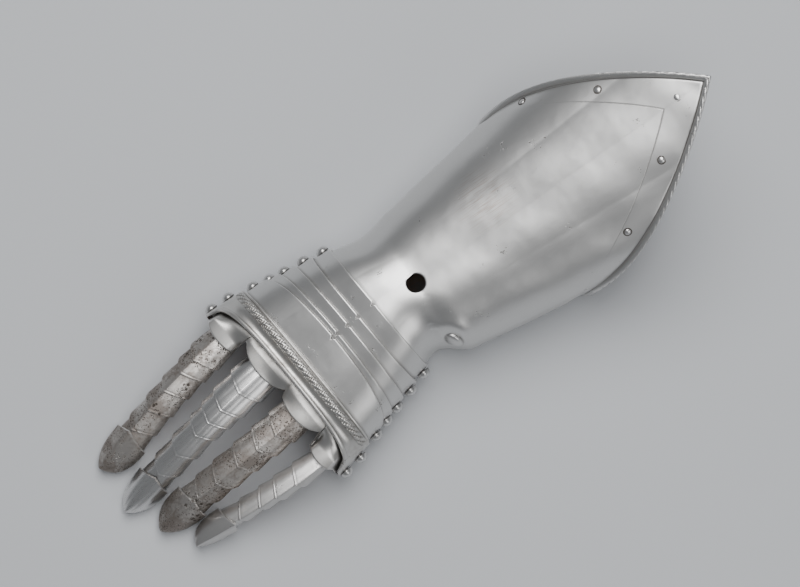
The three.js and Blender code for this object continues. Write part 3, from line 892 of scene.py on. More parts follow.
@dataclass(frozen=True)
class InsideFinish:
    """The dull dark inside of a plate, left from the forge."""

    name: str = "Forge-dark inside"

    def material(self) -> bpy.types.Material:
        """Builds the material.

        Returns:
            The material.
        """
        material = bpy.data.materials.new(self.name)
        material.use_nodes = True
        graph = Graph(material.node_tree)
        shader = material.node_tree.nodes["Principled BSDF"]
        place = graph.add("ShaderNodeTexCoord").outputs["Object"]
        patina = SteelFinish.effect(graph, Effect.patina(), place, Scale=90.0, Cover=0.6)
        colour = graph.mix(
            patina.outputs["Mask"], (0.12, 0.11, 0.105, 1.0), (0.20, 0.13, 0.09, 1.0)
        )
        graph.feed(shader.inputs["Base Color"], colour)
        shader.inputs["Metallic"].default_value = 0.85
        graph.feed(
            shader.inputs["Roughness"],
            graph.math("MULTIPLY_ADD", patina.outputs["Mask"], 0.2, 0.55),
        )
        bump = graph.add("ShaderNodeBump", Height=graph.noise(place, 260.0, 4.0))
        bump.inputs["Strength"].default_value = 0.4
        bump.inputs["Distance"].default_value = 0.0004
        graph.feed(shader.inputs["Normal"], bump.outputs[0])
        return material


@dataclass(frozen=True)
class LeatherFinish:
    """Worn tan leather with a fine grain and darker handling marks."""

    name: str = "Worn tan leather"

    def material(self) -> bpy.types.Material:
        """Builds the material.

        Returns:
            The material.
        """
        material = bpy.data.materials.new(self.name)
        material.use_nodes = True
        graph = Graph(material.node_tree)
        shader = material.node_tree.nodes["Principled BSDF"]
        place = graph.add("ShaderNodeTexCoord").outputs["Object"]
        patina = SteelFinish.effect(graph, Effect.patina(), place, Scale=140.0, Cover=0.55)
        colour = graph.mix(
            graph.math("MULTIPLY", patina.outputs["Mask"], 0.8),
            (0.46, 0.20, 0.075, 1.0),
            (0.16, 0.075, 0.035, 1.0),
        )
        graph.feed(shader.inputs["Base Color"], colour)
        graph.feed(
            shader.inputs["Roughness"],
            graph.math("MULTIPLY_ADD", patina.outputs["Mask"], 0.2, 0.6),
        )
        cells = graph.tree.nodes.new("ShaderNodeTexVoronoi")
        graph.feed(cells.inputs["Vector"], place)
        cells.inputs["Scale"].default_value = 1500.0
        bump = graph.add("ShaderNodeBump", Height=cells.outputs["Distance"])
        bump.inputs["Strength"].default_value = 0.5
        bump.inputs["Distance"].default_value = 0.0002
        graph.feed(shader.inputs["Normal"], bump.outputs[0])
        return material


class Finish(Enum):
    """Every finish of the gauntlet: its own word, and the record's slot that it stands for."""

    CUFF = ("cuff", "steel")
    HAND = ("hand", "steel")
    KNUCKLE = ("knuckle", "steel")
    BROWNED = ("browned", "dark_steel")
    BRIGHT = ("bright", "clean_steel")
    LITTLE = ("little", "steel")
    RIVET = ("rivet", "rivet_steel")
    LEATHER = ("leather", "leather")
    INSIDE = ("inside", "steel")

    @property
    def slot(self) -> str:
        """The record's material slot."""
        return self.value[1]


class Finishes:
    """Makes each material once."""

    recipes = {
        Finish.CUFF: SteelFinish(
            "Cuff steel", stain_cover=0.22, pit_cover=0.34, rust_streaks=True
        ),
        Finish.HAND: SteelFinish("Hand plate steel", stain_cover=0.3, pit_cover=0.4),
        Finish.KNUCKLE: SteelFinish(
            "Knuckle steel", clean=(0.56, 0.55, 0.53, 1.0), stain_cover=0.5, pit_cover=0.36
        ),
        Finish.BROWNED: SteelFinish(
            "Browned pitted steel", clean=(0.50, 0.475, 0.45, 1.0), stained=(0.17, 0.14, 0.12, 1.0),
            stain_cover=0.75, stain_scale=90.0, pit_cover=0.78, roughness=0.38,
        ),
        Finish.BRIGHT: SteelFinish(
            "Bright polished steel", clean=(0.64, 0.635, 0.63, 1.0), stain_cover=0.3, pit_cover=0.3,
            roughness=0.28,
        ),
        Finish.LITTLE: SteelFinish(
            "Grey polished steel", clean=(0.56, 0.55, 0.54, 1.0), stain_cover=0.5, pit_cover=0.45,
            roughness=0.36,
        ),
        Finish.RIVET: SteelFinish(
            "Rivet steel", stain_cover=0.45, pit_cover=0.3, roughness=0.3, wear_width=0.0
        ),
        Finish.LEATHER: LeatherFinish(),
        Finish.INSIDE: InsideFinish(),
    }
    made: dict[Finish, bpy.types.Material] = {}

    @classmethod
    def get(cls, finish: Finish) -> bpy.types.Material:
        """The material of a finish.

        Args:
            finish: the finish asked for.

        Returns:
            The material.
        """
        if finish not in cls.made:
            cls.made[finish] = cls.recipes[finish].material()
        return cls.made[finish]


def dress(piece: bpy.types.Object, finish: Finish, body: str, *nodes: str) -> None:
    """Gives a piece its materials, its body and the solids that it stands for.

    Args:
        piece: the finished piece.
        finish: its outer finish; faces of material 1 take the inside finish.
        body: the body that it moves with.
        nodes: solids that it replaces.
    """
    piece.data.materials.append(Finishes.get(finish))
    if finish is not Finish.LEATHER:
        piece.data.materials.append(Finishes.get(Finish.INSIDE))
    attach(piece, body)
    finish.slot
    if nodes:
        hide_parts(*nodes)
    LOG.info("%s: %d faces on %s", piece.name, len(piece.data.polygons), body)


# ---- Cuff -------------------------------------------------------------------------------------


@dataclass(frozen=True)
class Boss:
    """The oval boss over the wrist bone."""

    x: float = 0.4
    angle: float = -66.0
    long: float = 6.4
    wide: float = 3.7
    high: float = 3.0
    sink: float = 0.6


@dataclass(frozen=True)
class BorderRivet:
    """A flush rivet of the border, by its angle and its distance from the rim."""

    angle: float
    inset: float


@dataclass(frozen=True)
class Cuff:
    """The closed cuff with its sunken border, roped rim, wrist hole, boss and border rivets."""

    wrist_half_width: float = 36.2
    flare: float = 0.158
    crest_at_wrist: float = 51.6
    crest_rise: float = 0.165
    crest_curve: float = 0.00037
    waist_at_wrist: float = 16.5
    waist_rise: float = 0.17
    wrist_end: float = -28.5
    under_end: float = -12.0
    tip: float = 161.5
    side_reach: float = 71.0
    under_reach: float = 60.0
    crest_ridge: float = 2.6
    border_depth: float = 0.8
    border_at_tip: float = 26.0
    border_shortest: float = 11.0
    roll_width: float = 4.0
    roll_height: float = 1.7
    hole_radius: float = 4.0
    hole_chamfer: float = 0.45
    rope_pitch: float = 4.6
    rope_cut: float = 0.5
    rope_sink: float = 0.22
    boss: Boss = Boss()
    rivets: tuple[BorderRivet, ...] = (
        BorderRivet(-118, 8), BorderRivet(-82, 12), BorderRivet(-44, 18), BorderRivet(-18, 17),
        BorderRivet(1, 16.5), BorderRivet(27, 12), BorderRivet(59, 9), BorderRivet(88, 8),
        BorderRivet(118, 8),
    )
    columns: int = 300
    rows: int = 142

    @property
    def wrist(self) -> Vector:
        """The wrist point in the cuff's own coordinates, whose X is 0 at the wrist hole."""
        return Vector((-18.0, 3.3, 0.0))

    def to_row(self, points: Array) -> Array:
        """Points of the cuff's own coordinates in the row's frame."""
        shift = HAND.wrist - self.wrist
        return points + np.array(shift)

    def section(self, x: Array) -> Section:
        """Cross-section of the cuff.

        Args:
            x: places along the forearm.

        Returns:
            The cross-section.
        """
        beyond = np.maximum(0.0, x)
        return Section(
            half=self.wrist_half_width + self.flare * x,
            crest=self.crest_at_wrist + self.crest_rise * beyond + self.crest_curve * beyond**2,
            waist=self.waist_at_wrist + self.waist_rise * beyond,
            power=np.float64(2.1),
            ridge=self.crest_ridge * smoothstep(x, 4.0, 110.0),
        )

    def rim(self, angle: Array) -> Array:
        """Place of the flared rim along the forearm.

        Args:
            angle: angles round the cuff.

        Returns:
            The places of the rim.
        """
        away = np.abs(angle)
        upper = lerp(self.tip, self.side_reach, away / 90) - 6 * np.sin(np.radians(2 * away))
        below = np.sin(np.radians(np.maximum(away - 90, 0)))
        return np.where(away <= 90, upper, lerp(self.side_reach, self.under_reach, below))

    def border(self, angle: Array) -> Array:
        """Width of the sunken border, the roll included.

        Args:
            angle: angles round the cuff.

        Returns:
            The widths.
        """
        narrowing = np.where(angle > 0, 0.18 * angle, -0.05 * angle)
        below = 0.2 * np.maximum(0.0, -angle - 60)
        return np.maximum(self.border_shortest, self.border_at_tip - narrowing - below)

    def start(self, angle: Array) -> Array:
        """Place of the wrist end along the forearm."""
        return lerp(self.wrist_end, self.under_end, smoothstep(np.abs(angle), 96, 140))

    def point(self, x: Array, angle: Array, lift: Array) -> Array:
        """Points of the cuff in its own coordinates. Its wrist end follows the hand surface.

        Args:
            x: places along the forearm.
            angle: angles round the cuff.
            lift: lifts off the surface.

        Returns:
            Points in the cuff's own coordinates.
        """
        y, z = self.section(x).point(angle, lift)
        own = stack(x, y, z)
        share = 1 - smoothstep(x, -17, 8)
        reach = self.wrist.x - x
        drop = -NECK_TILT * np.maximum(0.0, reach - HAND_PLATES[0].edge(angle))
        on_hand = HandSurface.point(reach, angle, drop + lift)
        c, s = math.cos(HAND.turn), math.sin(HAND.turn)
        turned = stack(
            c * on_hand[..., 0] - s * on_hand[..., 1] + self.wrist.x,
            s * on_hand[..., 0] + c * on_hand[..., 1] + self.wrist.y,
            on_hand[..., 2],
        )
        points = lerp(own, turned, share[..., None])
        points[..., 2] = np.maximum(points[..., 2], FLOOR - np.minimum(0.0, lift))
        return points

    def row_table(self) -> Array:
        """Shares of start, rim and border and the offset that place each row along the forearm.

        Returns:
            A row of four numbers for each row of points.
        """
        neck = np.linspace(0.0, 1.0, self.rows - 60 + 1)[:-1] ** 1.25
        clear = 1.2
        rows = [(1 - f, f, -f, -clear * f) for f in neck]
        rows += [(0, 1, -1, -d) for d in np.linspace(clear, -clear, 25)[:-1]]
        band = np.linspace(0.0, 1.0, 23)[:-1]
        rows += [(0, 1, -(1 - f), clear * (1 - f) - (self.roll_width + 1) * f) for f in band]
        rows += [(0, 1, 0, -d) for d in np.linspace(self.roll_width + 1, 1.6, 15)]
        return np.array(rows)

    def along(self, v: Array, angle: Array) -> Array:
        """Place along the forearm of a share v of the rows.

        Args:
            v: shares of the rows, 0 to 1.
            angle: angles round the cuff.

        Returns:
            The places along the forearm.
        """
        table = self.row_table()
        step = v * (len(table) - 1)
        at = [np.interp(step, np.arange(len(table)), table[:, k]) for k in range(4)]
        return at[0] * self.start(angle) + at[1] * self.rim(angle) + at[2] * self.border(angle) + at[3]

    def boss_distance(self, x: Array, angle: Array) -> Array:
        """Distance from the middle of the boss, as a share of its half sizes.

        Args:
            x: places along the forearm.
            angle: angles round the cuff.

        Returns:
            The distances, 1 at its foot.
        """
        section = self.section(np.float64(self.boss.x))
        round_it = section.arc(angle) - section.arc(np.float64(self.boss.angle))
        return np.hypot(round_it / self.boss.long, (x - self.boss.x) / self.boss.wide)

    def relief(self, x: Array, angle: Array) -> tuple[Array, Array]:
        """Lift of the outer face over the plain cuff, and how much painted shade each point takes in its
        lines and round the boss.

        Args:
            x: places along the forearm.
            angle: angles round the cuff.

        Returns:
            The lifts and the painted shade values.
        """
        from_rim = self.rim(angle) - x
        border = self.border(angle)
        lift = -self.border_depth * (1 - smoothstep(from_rim - border, -0.45, 0.3))
        step_line = bell(from_rim - border + 0.45, 0.3)
        roll_line = bell(from_rim - self.roll_width - 0.25, 0.42)
        lift = lift - 0.12 * step_line - 0.35 * roll_line
        away = self.boss_distance(x, angle)
        dome = self.boss.high * np.sqrt(np.maximum(0.0, 1 - away * away)) - self.boss.sink
        lift = lift + np.maximum(0.0, dome) - 0.22 * bell(away - 1.02, 0.07)
        lift = lift + 0.9 * bell(away - 2.1, 0.8) * smoothstep(angle, -70, -50) * (x > self.boss.x - 6)
        side = np.degrees(np.arcsin(np.clip((x - 4) / 150, -1, 1)))
        lift = lift + 0.18 * np.sin(angle / 9.0 + side / 5.0) * np.cos(x / 11.0) * smoothstep(x, 2, 20)
        # Painted shade along the border step, at the foot of the roll and round the foot of the boss.
        painted_shade = 0.35 * step_line + 0.8 * roll_line + 0.35 * bell(away - 1.02, 0.1)
        return lift, painted_shade

    @staticmethod
    def turn(u: Array) -> Array:
        """Angle round the cuff of a share u of the columns."""
        return 180 * centred(u, 0.5)

    def outer(self, u: Array, v: Array) -> Patch:
        """The outer face.

        Args:
            u: shares of the columns, 0 to 1.
            v: shares of the rows, 0 to 1.

        Returns:
            The outer points.
        """
        angle = self.turn(u)
        x = self.along(v, angle)
        lift, painted_shade = self.relief(x, angle)
        lift = np.where(np.abs(angle) > 150, np.minimum(lift, 0.0), lift)
        from_wrist = x - self.start(angle)
        lift = lift - rounded_edge(from_wrist, 0.5)
        return Patch(self.to_row(self.point(x, angle, lift)), from_wrist, painted_shade)

    def inner(self, u: Array, v: Array) -> Patch:
        """The inner face.

        Args:
            u: shares of the columns, 0 to 1.
            v: shares of the rows, 0 to 1.

        Returns:
            The inner points.
        """
        angle = self.turn(u)
        x = self.along(v, angle)
        points = self.to_row(self.point(x, angle, np.full_like(x, -CUFF_THICKNESS)))
        return Patch(points, np.full_like(x, PLAIN), np.zeros_like(x))

    def near_detail(self, u: float, v: float) -> bool:
        """Whether a place is close to the wrist hole or the boss.

        Args:
            u: shares of the columns, 0 to 1.
            v: shares of the rows, 0 to 1.

        Returns:
            Whether the faces there are to be finer.
        """
        angle = self.turn(np.array([u]))
        x = self.along(np.array([v]), angle)
        if not -14 < x[0] < 14:
            return False
        boss = self.boss_distance(x, angle)[0] < 1.7
        return bool(boss or (abs(angle[0]) < 14 and abs(x[0]) < 8.5))

    def build_shell(self) -> bpy.types.Object:
        """The cuff's wall, drilled over the wrist.

        Returns:
            The shell.
        """
        mesh = PlateMesh(self.columns, self.rows)
        mesh.refine(self.near_detail, 1)
        self.open_hole(mesh)
        mesh.wall(self.outer, self.inner, ring=True)
        self.chamfer_hole(mesh.bm)
        return mesh.make("cuff_shell")

    def open_hole(self, mesh: PlateMesh) -> None:
        """Takes the faces over the wrist hole out and draws its edge onto a circle.

        Args:
            mesh: the flat grid of the cuff.
        """
        u_layer, v_layer = mesh.layers["u"], mesh.layers["v"]
        radius = self.hole_radius + self.hole_chamfer
        u = np.fromiter((vert[u_layer] for vert in mesh.bm.verts), float)
        v = np.fromiter((vert[v_layer] for vert in mesh.bm.verts), float)
        angle = self.turn(u)
        x = self.along(v, angle)
        points = self.point(x, angle, np.zeros_like(x))
        away = np.hypot(points[:, 0], points[:, 1])
        away[points[:, 2] < PIVOT_HEIGHT] = 1e3
        inside = [vert for vert, far in zip(list(mesh.bm.verts), away) if far < radius - 0.12]
        bmesh.ops.delete(mesh.bm, geom=inside, context="VERTS")
        for vert in mesh.bm.verts:
            if vert.is_boundary and 0.02 < vert[v_layer] < 0.98 and 0.02 < vert[u_layer] < 0.98:
                self.pull_to_hole(vert, u_layer, v_layer, radius)

    def pull_to_hole(
        self,
        vert: bmesh.types.BMVert,
        u_layer: bmesh.types.BMLayerItem,
        v_layer: bmesh.types.BMLayerItem,
        radius: float,
    ) -> None:
        """Moves one point in u and v until it lies on the hole's circle.

        Args:
            vert: the point to move.
            u_layer: layer that holds u.
            v_layer: layer that holds v.
            radius: radius in millimetres.
        """
        u, v = np.array([vert[u_layer]]), np.array([vert[v_layer]])
        for _ in range(12):
            flat = self.flat(u, v)
            step = 1e-4
            over_u = (self.flat(u + step, v) - flat) / step
            over_v = (self.flat(u, v + step) - flat) / step
            wanted = flat / np.linalg.norm(flat) * radius - flat
            change = np.linalg.solve(np.stack([over_u, over_v], axis=1), wanted)
            u, v = u + change[0], v + change[1]
        vert[u_layer], vert[v_layer] = float(u[0]), float(v[0])

    def flat(self, u: Array, v: Array) -> Array:
        """Place over the ground of one point of the cuff, from the wrist hole's axis.

        Args:
            u: shares of the columns, 0 to 1.
            v: shares of the rows, 0 to 1.

        Returns:
            Its X and Y in millimetres.
        """
        angle = self.turn(u)
        x = self.along(v, angle)
        return self.point(x, angle, np.zeros_like(x))[0, :2]

    def chamfer_hole(self, bm: bmesh.types.BMesh) -> None:
        """Breaks the upper edge of the wrist hole.

        Args:
            bm: the bmesh that it works on.
        """
        centre = self.to_row(np.zeros(3)) * MM
        top = (self.crest_at_wrist - 0.8) * MM
        reach = (self.hole_radius + self.hole_chamfer + 0.15) * MM
        edges = []
        for edge in bm.edges:
            kinds = {face.material_index for face in edge.link_faces}
            far = max(math.hypot(v.co.x - centre[0], v.co.y - centre[1]) for v in edge.verts)
            if kinds == {0} and far < reach and edge.calc_face_angle(0.0) > 0.7:
                if min(vert.co.z for vert in edge.verts) > top:
                    edges.append(edge)
        bmesh.ops.bevel(
            bm, geom=edges, offset=self.hole_chamfer * MM, offset_type="OFFSET", segments=3,
            profile=0.5, affect="EDGES", material=-1,
        )

    def rope(self, u: Array, v: Array) -> Patch:
        """The roped roll round the rim: v runs round the roll.

        Args:
            u: shares of the columns, 0 to 1.
            v: shares of the rows, 0 to 1.

        Returns:
            The points of the roll.
        """
        angle = 180 * centred(u, 0.75)
        turn = 2 * np.pi * v
        run = self.rim_length(angle)
        strand = run / self.rope_pitch * np.where(angle > 0, 1.0, -1.0) + 0.16 * np.cos(turn) * 5
        phase = strand - np.floor(strand)
        cut = np.maximum(0.0, 1 - np.minimum(phase, 1 - phase) / 0.16) ** 1.3
        lively = 0.55 + 0.45 * np.sin(run / 17.0 + 2.0 * np.sign(angle)) ** 2
        outer_side = smoothstep(np.cos(turn - 0.35), -0.35, 0.35)
        cut = cut * outer_side * lively * (1 - smoothstep(np.abs(angle), 140, 150))
        swell = 0.16 * np.abs(np.sin(np.pi * strand)) * outer_side
        half_x, half_z = self.roll_width / 2, (self.roll_height + CUFF_THICKNESS) / 2
        size = 1 - self.rope_cut / half_z * cut + (swell - 0.16) / half_z
        x = self.rim(angle) - half_x + half_x * np.cos(turn) * size
        lift = self.roll_height - self.rope_sink - half_z + half_z * np.sin(turn) * size
        points = self.to_row(self.point(x, angle, lift))
        # Painted shade in the rope's cuts: the last value darkens them.
        return Patch(points, np.full_like(x, 0.45) + 0.8 * (1 - outer_side), 0.75 * cut)

    def rim_length(self, angle: Array) -> Array:
        """Length along the rim from its tip.

        Args:
            angle: angles round the cuff.

        Returns:
            The lengths.
        """
        steps = np.linspace(0.0, 180.0, 361)
        line = self.point(self.rim(steps), steps, np.zeros_like(steps))
        pieces = np.linalg.norm(np.diff(line, axis=0), axis=1)
        run = np.concatenate([[0.0], np.cumsum(pieces)])
        return np.interp(np.abs(angle), steps, run)

    def build_rope(self) -> bpy.types.Object:
        """The turned rim, cut as a rope.

        Returns:
            The roll.
        """
        mesh = PlateMesh(1300, 26)
        mesh.place(list(mesh.bm.verts), self.rope)
        mesh.weld()
        bmesh.ops.recalc_face_normals(mesh.bm, faces=mesh.bm.faces)
        return mesh.make("rim_rope", 50.0)

    def build_rivets(self) -> bpy.types.Object:
        """The flush rivets of the border, in one mesh.

        Returns:
            The rivets.
        """
        bm = bmesh.new()
        layers = {name: bm.verts.layers.float.new(name) for name in ("edge", "painted_shade")}
        for spot in self.rivets:
            angle = np.array([float(spot.angle)])
            x = self.rim(angle) - spot.inset
            frame_here = self.surface_frame(x, angle, -self.border_depth)
            head = dome(bm, 1.55, 0.62, 0.18)
            # A thin washer round each head, painted fully dark as shade at the rivet's foot.
            ring = collar(bm, 1.5, 2.15, 0.05)
            for vert in ring:
                vert[layers["painted_shade"]] = 1.0
            for vert in head + ring:
                vert[layers["edge"]] = PLAIN
                vert.co = frame_here @ vert.co
        return finish_mesh(bm, "border_rivets")

    def surface_frame(self, x: Array, angle: Array, lift: float) -> Matrix:
        """Matrix that stands a shape from +Z on the cuff, from millimetres to metres.

        Args:
            x: places along the forearm.
            angle: angles round the cuff.
            lift: lifts off the surface.

        Returns:
            The matrix.
        """
        here = self.to_row(self.point(x, angle, np.full_like(x, lift)))[0]
        level = np.zeros_like(x)
        by_x = self.point(x + 1, angle, level)[0] - self.point(x - 1, angle, level)[0]
        by_turn = self.point(x, angle + 1, level)[0] - self.point(x, angle - 1, level)[0]
        normal = Vector(np.cross(by_x, by_turn)).normalized()
        sideways = Vector(by_turn).normalized()
        third = normal.cross(sideways)
        basis = Matrix((sideways, third, normal)).transposed()
        return Matrix.Translation(Vector(here) * MM) @ (basis * MM).to_4x4()

    def build(self) -> None:
        """Builds and dresses the cuff's pieces."""
        dress(self.build_shell(), Finish.CUFF, "cuff", "cuff_plate")
        dress(self.build_rope(), Finish.CUFF, "cuff")
        dress(self.build_rivets(), Finish.RIVET, "cuff")


def lathe(bm: bmesh.types.BMesh, profile: Sequence[tuple[float, float]], steps: int) -> Verts:
    """Spins a profile of (radius, height) points round Z, closed at its poles.

    Args:
        bm: where the shape goes.
        profile: radius and height of each point.
        steps: faces round the shape.

    Returns:
        The new points.
    """
    before = set(bm.verts)
    verts = [bm.verts.new((radius, 0.0, height)) for radius, height in profile]
    edges = [bm.edges.new(pair) for pair in zip(verts, verts[1:])]
    bmesh.ops.spin(
        bm, geom=verts + edges, cent=(0, 0, 0), axis=(0, 0, 1), angle=2 * math.pi, steps=steps,
        use_merge=True,
    )
    made = [vert for vert in bm.verts if vert not in before]
    bmesh.ops.remove_doubles(bm, verts=made, dist=1e-5)
    made = [vert for vert in bm.verts if vert not in before]
    faces = list({face for vert in made for face in vert.link_faces})
    bmesh.ops.recalc_face_normals(bm, faces=faces)
    return made


def dome(bm: bmesh.types.BMesh, radius: float, height: float, foot: float) -> Verts:
    """A low closed dome on a short foot.

    Args:
        bm: the bmesh that it works on.
        radius: radius in millimetres.
        height: height in millimetres.
        foot: depth of the foot below the surface.

    Returns:
        The new points.
    """
    turns = np.linspace(0.0, math.pi / 2, 9)
    profile = [(0.0, -foot), (radius * 0.97, -foot)]
    profile += [(radius * math.cos(t), height * math.sin(t)) for t in turns]
    profile[-1] = (0.0, height)
    return lathe(bm, profile, 24)


def collar(bm: bmesh.types.BMesh, inner: float, outer: float, height: float) -> Verts:
    """A flat closed washer."""
    profile = [(inner, -0.2), (outer, -0.2), (outer, height * 0.4), (inner, height), (inner, -0.2)]
    return lathe(bm, profile, 24)


# ---- Hand plates ------------------------------------------------------------------------------


@dataclass(frozen=True)
class LamePack:
    """The four narrow lames and the wide metacarpal plate."""

    nick_width: float = 1.1
    nick_depth: float = 1.7
    edge_radius: float = 0.55
    columns: int = 200

    def edge(self, plate: HandPlate, angle: Array) -> Array:
        """Exposed edge of a plate, with the filed nick at the ridge.

        Args:
            plate: the plate.
            angle: angles round the section.

        Returns:
            The reaches of the edge.
        """
        across = HandSurface.section(np.float64(plate.reach)).arc(angle)
        nick = np.maximum(0.0, 1 - np.abs(across) / self.nick_width)
        return plate.edge(angle) + self.nick_depth * nick

    def surface(self, number: int, layer: int, u: Array, v: Array) -> Patch:
        """The outer face (layer 0) or inner face (layer 1) of a plate.

        Args:
            number: place of the plate in its row, from 0.
            layer: 0 for the outer face, 1 for the inner one.
            u: shares of the columns, 0 to 1.
            v: shares of the rows, 0 to 1.

        Returns:
            The points of the face.
        """
        plate = HAND_PLATES[number]
        angle = HAND_SIDE_ANGLE * centred(u, 0.32)
        start = self.edge(plate, angle)
        end = HandSurface.hidden_end(number, angle)
        share = v * (0.35 + 0.65 * v)
        reach = lerp(start, end, share)
        lift = HandSurface.plate_lift(number, angle, reach)
        section = HandSurface.section(np.float64(plate.reach))
        from_side = section.arc(np.float64(HAND_SIDE_ANGLE)) - np.abs(section.arc(angle))
        from_edge = reach - start
        if layer:
            lift = lift - PLATE_THICKNESS
        else:
            lift = lift - rounded_edge(from_edge, self.edge_radius)
            lift = lift + 0.05 * np.sin(angle / 7.0 + number) * np.cos(reach / 6.0)
        edge = np.minimum(from_edge, np.maximum(from_side, 0.0))
        cover = end - reach
        hidden = HandSurface.hidden_end(number, angle) - HAND_PLATES[number + 1].edge(angle)
        # Painted shadow on the strip of the plate just beside the edge of the next plate, which laps over
        # it.
        painted_shade = 0.55 * bell(cover - hidden - 0.2, 0.7) if layer == 0 else np.zeros_like(u)
        points = HAND.to_row(HandSurface.point(reach, angle, lift))
        return Patch(points, edge, painted_shade)

    def build(self) -> None:
        """Builds and dresses the five plates."""
        for number in range(KNUCKLE_NUMBER):
            plate = HAND_PLATES[number]
            wide = number == KNUCKLE_NUMBER - 1
            mesh = PlateMesh(self.columns, 60 if wide else 30)
            mesh.wall(
                lambda u, v: self.surface(number, 0, u, v),
                lambda u, v: self.surface(number, 1, u, v),
            )
            piece = mesh.make(f"{plate.node}_steel")
            dress(piece, Finish.HAND, plate.body, plate.node)


@dataclass(frozen=True)
class KnucklePlate:
    """The knuckle plate: two engraved lines, a roped rib, a hollow flange and a rounded edge."""

    rope: float = 47.6
    rope_radius: float = 2.1
    rope_height: float = 1.9
    edge: float = 55.2
    edge_bow: float = 5.2
    rope_angle: float = 66.0
    strand_pitch: float = 3.7
    strand_slant: float = 1.75
    bead: float = 1.5
    line_depth: float = 0.3
    second_depth: float = 0.26
    hollow_depth: float = 0.75
    bead_height: float = 0.55
    body: str = "knuckle_body"

    def end(self, angle: Array) -> Array:
        """Reach of the finger-side edge.

        Args:
            angle: angles round the section.

        Returns:
            The reaches of the edge.
        """
        away = np.abs(angle)
        side = smoothstep(away, 66, 80)
        crown = np.minimum(self.edge + self.edge_bow * (away / 72) ** 3, self.edge + self.edge_bow)
        return lerp(crown, FINGER_BASE_RIVET + RIVET_MARGIN, side)

    def fade(self, angle: Array) -> Array:
        """1 over the back of the hand, 0 on the flanks, where the relief runs out."""
        return 1 - smoothstep(np.abs(angle), self.rope_angle, self.rope_angle + 9)

    def relief(self, reach: Array, angle: Array) -> tuple[Array, Array]:
        """Lift of the outer face over the plain plate and how much painted shade each point takes in its
        lines and hollow.

        Args:
            reach: reaches from the wrist.
            angle: angles round the section.

        Returns:
            The lifts and the painted shade values.
        """
        fade = self.fade(angle)
        end = self.end(angle)
        fine = bell(reach - self.rope + self.rope_radius + 0.35, 0.24)
        second = bell(reach - self.rope + self.rope_radius + 1.75, 0.24)
        beyond = np.clip((reach - self.rope - self.rope_radius) / (end - self.rope - self.rope_radius), 0, 1)
        hollow = np.sin(np.pi * np.clip(beyond / 0.74, 0, 1)) ** 0.8
        bead = np.sqrt(np.maximum(0.0, 1 - ((end - reach - self.bead * 0.62) / (self.bead * 0.8)) ** 2))
        cuts = -self.line_depth * fine - self.second_depth * second - self.hollow_depth * hollow
        lift = fade * (cuts + self.bead_height * bead)
        # Painted shade in the two engraved lines, and a painted dark line of shade in the hollow beside the
        # bead.
        line = bell(end - reach - self.bead * 1.5, 0.25)
        painted_shade = fade * (0.6 * fine + 0.45 * second + 0.3 * line)
        return lift, painted_shade

    def surface(self, layer: int, u: Array, v: Array) -> Patch:
        """The outer face (layer 0) or inner face (layer 1).

        Args:
            layer: 0 for the outer face, 1 for the inner one.
            u: shares of the columns, 0 to 1.
            v: shares of the rows, 0 to 1.

        Returns:
            The points of the face.
        """
        plate = HAND_PLATES[KNUCKLE_NUMBER]
        angle = HAND_SIDE_ANGLE * centred(u, 0.7)
        start, end = plate.edge(angle), self.end(angle)
        reach = lerp(start, end, v)
        lift = HandSurface.edge_lift(KNUCKLE_NUMBER, angle)
        from_edge = np.minimum(reach - start, end - reach)
        if layer:
            points = HAND.to_row(HandSurface.point(reach, angle, lift - PLATE_THICKNESS))
            return Patch(points, np.full_like(u, PLAIN), np.zeros_like(u))
        relief, painted_shade = self.relief(reach, angle)
        lift = lift + relief - rounded_edge(from_edge, 0.5)
        points = HAND.to_row(HandSurface.point(reach, angle, lift))
        return Patch(points, from_edge, painted_shade)

    def strands(self, u: Array, v: Array) -> Patch:
        """The roped rib: v runs round it, its underside sunk into the plate.

        Args:
            u: shares of the columns, 0 to 1.
            v: shares of the rows, 0 to 1.

        Returns:
            The points of the rope.
        """
        reach_of = self.rope_angle + 6
        angle = reach_of * (2 * u - 1)
        turn = 2 * np.pi * v
        across = HandSurface.section(np.float64(self.rope)).arc(angle)
        end_taper = np.sqrt(np.clip(1 - (np.abs(angle) / (reach_of + 0.2)) ** 24, 0.0, 1.0))
        radius = self.rope_radius * (0.35 + 0.65 * end_taper)
        along = radius * np.cos(turn)
        strand = (across - self.strand_slant * along) / self.strand_pitch
        phase = strand - np.floor(strand)
        deep = np.maximum(0.0, 1 - np.minimum(phase, 1 - phase) / 0.17)
        fine = np.maximum(0.0, 1 - np.abs(phase - 0.42) / 0.08)
        top = smoothstep(np.sin(turn), 0.05, 0.4)
        swell = np.abs(np.sin(np.pi * strand)) ** 0.7
        rise = self.rope_height * end_taper * (0.70 + 0.26 * swell) - 0.55 * deep - 0.16 * fine
        lift = np.where(np.sin(turn) > 0, rise * np.sin(turn), 0.6 * np.sin(turn))
        base = HandSurface.edge_lift(KNUCKLE_NUMBER, angle) - 0.12
        points = HAND.to_row(HandSurface.point(self.rope + along, angle, base + lift))
        # Painted shade in the cuts on the top of the rope: the last value darkens them.
        return Patch(points, np.full_like(u, 0.5) + deep, top * (0.75 * deep + 0.3 * fine))

